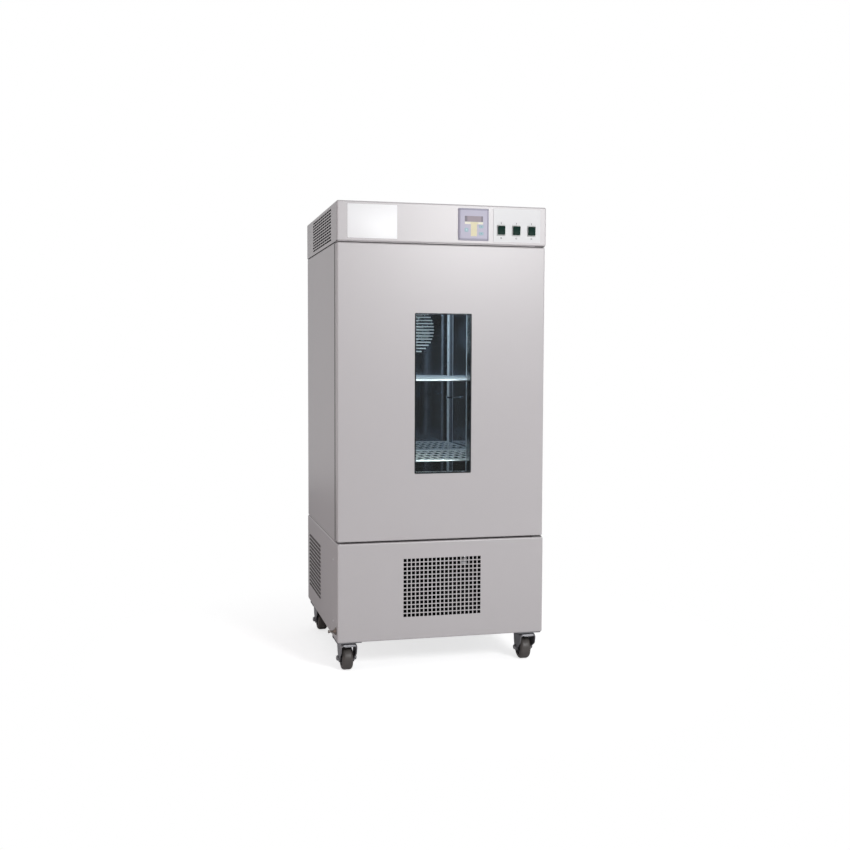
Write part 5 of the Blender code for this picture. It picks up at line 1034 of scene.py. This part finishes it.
@dataclass
class CasterDress(Dress):
    """Swivel casters: plate with bolts and race, stamped fork, axle, tyre and hub."""

    left_x: float = 0.039
    right_x: float = 0.611
    front_y: float = 0.047
    back_y: float = 0.560
    trail: float = 0.025
    axle_z: float = -0.0635
    plate: float = 0.077
    bolt_half: float = 0.0275
    radius: float = 0.0365
    tread: float = 0.0170
    fork_half: float = 0.02075
    shoulder_half: float = 0.0240
    crown_top: float = -0.0096
    fork_sheet: float = 0.0026
    boss: float = 0.0135
    lip: float = 0.0100

    def build(self) -> None:
        """Make the four casters."""
        for end, y in (("front", self.front_y), ("back", self.back_y)):
            for hand, x in (("left", self.left_x), ("right", self.right_x)):
                name, axle = f"caster_{end}_{hand}", at(x, y + self.trail, self.axle_z)
                self.build_plate(name, x, y)
                self.build_fork(name, x, y)
                self.build_axle(name, axle)
                self.build_wheel(name, axle)

    def build_plate(self, name: str, x: float, y: float) -> None:
        """The top plate with a dished race, a kingpin nut and four bolt heads."""
        seat = flat_seat(at(x, y, 0.0), -1)
        outline = rounded_outline(self.plate, self.plate, 0.006, 5)
        race = [(0.0262, 0.0030), (0.0262, 0.0040), (0.0250, 0.0058), (0.0235, 0.0072), (0.0225, 0.0092),
                (0.0205, 0.0093), (0.0050, 0.0093)]
        # The zinc race takes the black enamel finish as painted shade for the recess between the plate and the fork.
        self.piece(f"{name}_race", turned(race, seat, 36), "zinc_plate", look="black_enamel")
        parts = [prism(outline, [(0.0, 0.0003), (0.0, 0.0040), (0.0004, 0.0044)], seat),
                 turned([(0.0048, 0.0090), (0.0048, 0.0125)], seat, 16),
                 turned([(0.0070, 0.0127), (0.0070, 0.0172), (0.0060, 0.0177)], seat, 6)]
        for across in (-1, 1):
            for along in (-1, 1):
                spot = flat_seat(at(x + across * self.bolt_half, y + along * self.bolt_half, 0.0), -1)
                parts.append(turned([(0.0046, 0.0042), (0.0046, 0.0050), (0.0042, 0.0051)], spot, 16))
                parts.append(turned([(0.0038, 0.0050), (0.0038, 0.0060), (0.0031, 0.0063)], spot, 6))
        piece = self.piece(f"{name}_top", gather(parts), "zinc_plate")
        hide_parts(f"{name}_plate")

    def build_fork(self, name: str, x: float, y: float) -> None:
        """The stamped fork: an arch across, carried from its front edge to its back edge.

        The arch runs up one leg, which leans outwards, over a shoulder arc, across the crown and down the
        other leg. At each height the front and back edges come from the side view: straight, then a taper to a
        round boss at the axle. At both ends the sheet turns inwards along its own normal over a quarter of an
        ellipse, the move being the lip's depth times one minus the cosine of the turn. The lip is deepest
        at the crown and fades out down the legs, so that the mouth of the fork is an arch.
        """
        outer, wide, shoulder = self.fork_half, self.shoulder_half, 0.0115
        mouth, faint, full = 0.11, 0.2, 0.92
        leg = np.linspace(self.axle_z - self.boss * 0.985, self.crown_top - shoulder, 20)
        lean = np.interp(leg, [self.axle_z, -0.042, self.crown_top - shoulder], [outer, outer + 0.0022, wide])
        angle = np.radians(np.linspace(0, 90, 8))[1:]
        crown = np.linspace(wide - shoulder, 0.0, 5)[1:]
        flat = np.ones(len(crown))
        across = np.concatenate([lean, wide - shoulder + shoulder * np.cos(angle), crown])
        up = np.concatenate([leg, self.crown_top - shoulder + shoulder * np.sin(angle), flat * self.crown_top])
        across, up = np.concatenate([across, -across[-2::-1]]), np.concatenate([up, up[-2::-1]])
        tilt = np.concatenate([np.zeros(len(leg)), angle, flat * math.pi / 2])
        fade = np.interp(leg, [-0.047, self.crown_top - shoulder], [0.0, faint])
        deep = self.lip * np.concatenate([fade, np.linspace(faint, full, 8)[1:], flat * full])
        inward = points(-np.cos(tilt), -np.sin(tilt)) * deep[:, None]
        inward = np.vstack([inward, inward[-2::-1] * np.array([-1.0, 1.0])])
        heights = np.array([self.axle_z, -0.040, self.crown_top - 0.016, self.crown_top])
        rear = self.trail + self.boss
        front = np.interp(up, heights, [self.trail - self.boss, -0.021, -0.0245, -0.025])
        back = np.interp(up, heights, [rear, rear - 0.0005, rear + 0.001, 0.041])
        below = np.clip(self.axle_z - up, 0.0, None)
        round_half = np.sqrt(np.clip(self.boss ** 2 - below ** 2, 0.0012 ** 2, None))
        front = np.where(below > 0, self.trail - round_half, front)
        back = np.where(below > 0, self.trail + round_half, back)
        turn = np.sin(np.radians(np.linspace(90, 0, 8)))
        share = np.concatenate([mouth * (1 - turn), np.linspace(mouth, 1 - mouth, 8)[1:],
                                1 - mouth + mouth * turn[-2::-1]])
        along = front[None, :] + (back - front)[None, :] * share[:, None]
        near = np.clip(1 - np.minimum(share, 1 - share) / mouth, 0.0, 1.0)
        edge = (1 - np.sqrt(1 - near ** 2)) * np.where(share < 0.5, 1.0, 0.5)
        side, rise = (line[None, :] + edge[:, None] * move[None, :] for line, move in zip((across, up), inward.T))
        fork = self.piece(f"{name}_yoke", lofted(points(side, along, rise) + at(x, y, 0.0), caps=False, cyclic=False),
                          "zinc_plate", f"{name}_fork", smooth=60.0)
        thicken(fork, self.fork_sheet, rim=0.0004, segments=2)
        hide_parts(f"{name}_fork")

    def build_axle(self, name: str, middle: np.ndarray) -> None:
        """The axle with a washer and a domed nut at each end."""
        outer = self.fork_half
        washer = [(0.0092, 0.0), (0.0092, 0.0009), (0.0088, 0.0011)]
        nut = [(0.0084, 0.0009), (0.0084, 0.0070), (0.0077, 0.0088), (0.0058, 0.0102), (0.0030, 0.0109)]
        parts = [turned([(radius, outer + height) for radius, height in profile], side_seat(side, middle), 24)
                 for side in (-1, 1) for profile in (washer, nut)]
        parts.append(turned([(0.0039, -outer), (0.0039, outer)], side_seat(1, middle), 16))
        self.piece(f"{name}_axle", gather(parts), "zinc_plate", f"{name}_fork")

    def build_wheel(self, name: str, middle: np.ndarray) -> None:
        """A rounded tyre over a ribbed hub. The tyre's shoulder is a quarter circle between side and tread."""
        seat = side_seat(1, middle)
        rounding = 0.0095
        angle = np.radians(np.linspace(0, 90, 9))
        half = [(0.0235, self.tread - 0.0012), (0.0245, self.tread - 0.0002)]
        half += [(self.radius - rounding + rounding * math.sin(a), self.tread - rounding + rounding * math.cos(a))
                 for a in angle]
        profile = [(r, -h) for r, h in half] + half[::-1]
        tyre = self.piece(f"{name}_tyre", turned(profile, seat, 48, closed=True), "black_rubber", f"{name}_wheel")
        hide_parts(f"{name}_wheel")
        section = [(0.0240, 0.0125), (0.0225, 0.0130), (0.0200, 0.0105), (0.0135, 0.0105), (0.0120, 0.0165),
                   (0.0100, 0.0170), (0.0045, 0.0170)]
        hub = [(r, -h) for r, h in reversed(section)] + section
        self.piece(f"{name}_hub", turned(hub, seat, 40, closed=True), "black_rubber", f"{name}_wheel", "dark_plastic")


@dataclass
class OutletDress(Dress):
    """The drain nozzle on the base's left side."""

    y: float = 0.028
    z: float = 0.031

    def build(self) -> None:
        """A flared hose nozzle with a barbed tip and a bore, and a washer at its foot."""
        profile = [(0.0070, -0.0100), (0.0070, 0.0003), (0.0118, 0.0003), (0.0120, 0.0012), (0.0110, 0.0022),
                   (0.0088, 0.0042), (0.0068, 0.0062), (0.0046, 0.0092), (0.0033, 0.0120), (0.0030, 0.0160),
                   (0.0031, 0.0192), (0.0046, 0.0204), (0.0049, 0.0216), (0.0046, 0.0236), (0.0040, 0.0240),
                   (0.0022, 0.0240), (0.0018, 0.0236), (0.0018, -0.0100)]
        spout = turned(profile, side_seat(-1, at(0.0, self.y, self.z)), closed=True)
        nozzle = self.piece("drain_spout", spout, "nickelled_brass")
        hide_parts("drain_nozzle")


@dataclass
class ChamberDress(Dress):
    """Wire shelves, louvres over the fan, and the lamp of the chamber."""

    middle_x: float = 0.325
    half_width: float = 0.2277
    front_y: float = 0.073
    back_y: float = 0.437
    levels: Pair = (0.5368, 0.7868)
    rim_radius: float = 0.0024
    rod_radius: float = 0.0018
    rods: int = 19
    rod_margin: float = 0.012
    wire_margin: float = 0.004
    rod_lift: float = 0.0011
    wire_drop: float = 0.0010
    wire_share: float = 0.9
    guard_height: float = 0.952
    guard_radius: float = 0.085
    guard_pitch: float = 0.0106
    guard_rows: int = 15
    blade: float = 0.0040
    panel_y: float = 0.449

    def build(self) -> None:
        """Make every piece of the chamber's dress."""
        for which, level in zip(("lower", "upper"), self.levels):
            shelf = self.piece(f"{which}_rack", self.shelf(level), "stainless_steel", look=Look.PLATED_WIRE)
            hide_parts(f"{which}_shelf")
        self.build_louvres()
        self.build_lamp()

    def shelf(self, underside: float) -> Surface:
        """A wire shelf: a closed rim wire, cross wires near front and back, and rods from front to back on them."""
        half_depth = (self.back_y - self.front_y) / 2
        reach = half_depth - self.rim_radius
        outline = rounded_outline(2 * (self.half_width - self.rim_radius), 2 * reach, 0.006, 4)
        middle = at(self.middle_x, (self.front_y + self.back_y) / 2, underside + self.rim_radius)
        parts = [tube(middle + points(*outline.T, 0.0), self.rim_radius, 10, closed=True)]
        spread = self.half_width - self.rod_margin
        for x in np.linspace(-spread, spread, self.rods):
            parts.append(tube(middle + points(x, [-reach, reach], self.rod_lift), self.rod_radius))
        wide = self.half_width - self.wire_margin
        for share in np.linspace(-0.66, 0.66, 4):
            ends = points([-wide, wide], share * half_depth, -self.wire_drop)
            parts.append(tube(middle + ends, self.rod_radius * self.wire_share))
        return gather(parts)

    def build_louvres(self) -> None:
        """Curved louvre blades over the round slots: each a quarter circle section carried across the slot row.

        A blade's half length follows the circle: the root of radius squared less height squared.
        """
        blades = []
        bend = np.radians(np.linspace(0, 90, 6))[:, None]
        seat = front_seat(self.middle_x, self.panel_y, self.guard_height)
        share = np.array([-1.0, -0.98, -0.9, 0.0, 0.9, 0.98, 1.0])
        proud = np.array([0.1, 0.6, 1.0, 1.0, 1.0, 0.6, 0.1]) * self.blade
        for row in range(self.guard_rows):
            up = (row - (self.guard_rows - 1) / 2) * self.guard_pitch
            reach = math.sqrt(max(self.guard_radius ** 2 - up ** 2, 0.0)) - 0.0015
            drop = 0.0042 - self.blade * np.sin(bend)
            grid = seat.world(share * reach, up + drop, 0.0003 + (1 - np.cos(bend)) * proud)
            blades.append(lofted(grid[::-1], caps=False, cyclic=False))
        louvres = self.piece("fan_louvres", gather(blades), "stainless_steel", look=Look.BLADE_STEEL, smooth=60.0)
        thicken(louvres, 0.0008, 0.0)

    def build_lamp(self) -> None:
        """A round lamp in the chamber's ceiling: a rim and a frosted dome."""
        seat = flat_seat(at(self.middle_x, 0.120, 1.142), -1)
        rim = [(0.030, 0.0003), (0.030, 0.004), (0.028, 0.006), (0.025, 0.006), (0.024, 0.0003)]
        self.piece("lamp_rim", turned(rim, seat, 40, closed=True), "aluminium")
        angle = np.radians(np.linspace(0, 88, 9))
        dome = turned([(0.0238 * math.cos(a), 0.0010 + 0.012 * math.sin(a)) for a in angle], seat, 40)
        self.piece("lamp_dome", dome, "white_plate")


def main() -> None:
    """Dress the incubator and set up its studio."""
    logging.basicConfig(level=logging.INFO, format="%(message)s")
    finishes = Finishes()
    finishes.dress_solids()
    for dress in (CabinetDress, ControllerDress, SwitchDress, CasterDress, OutletDress, ChamberDress):
        dress(finishes).build()
    Studio().build()


if __name__ == "__main__":
    main()
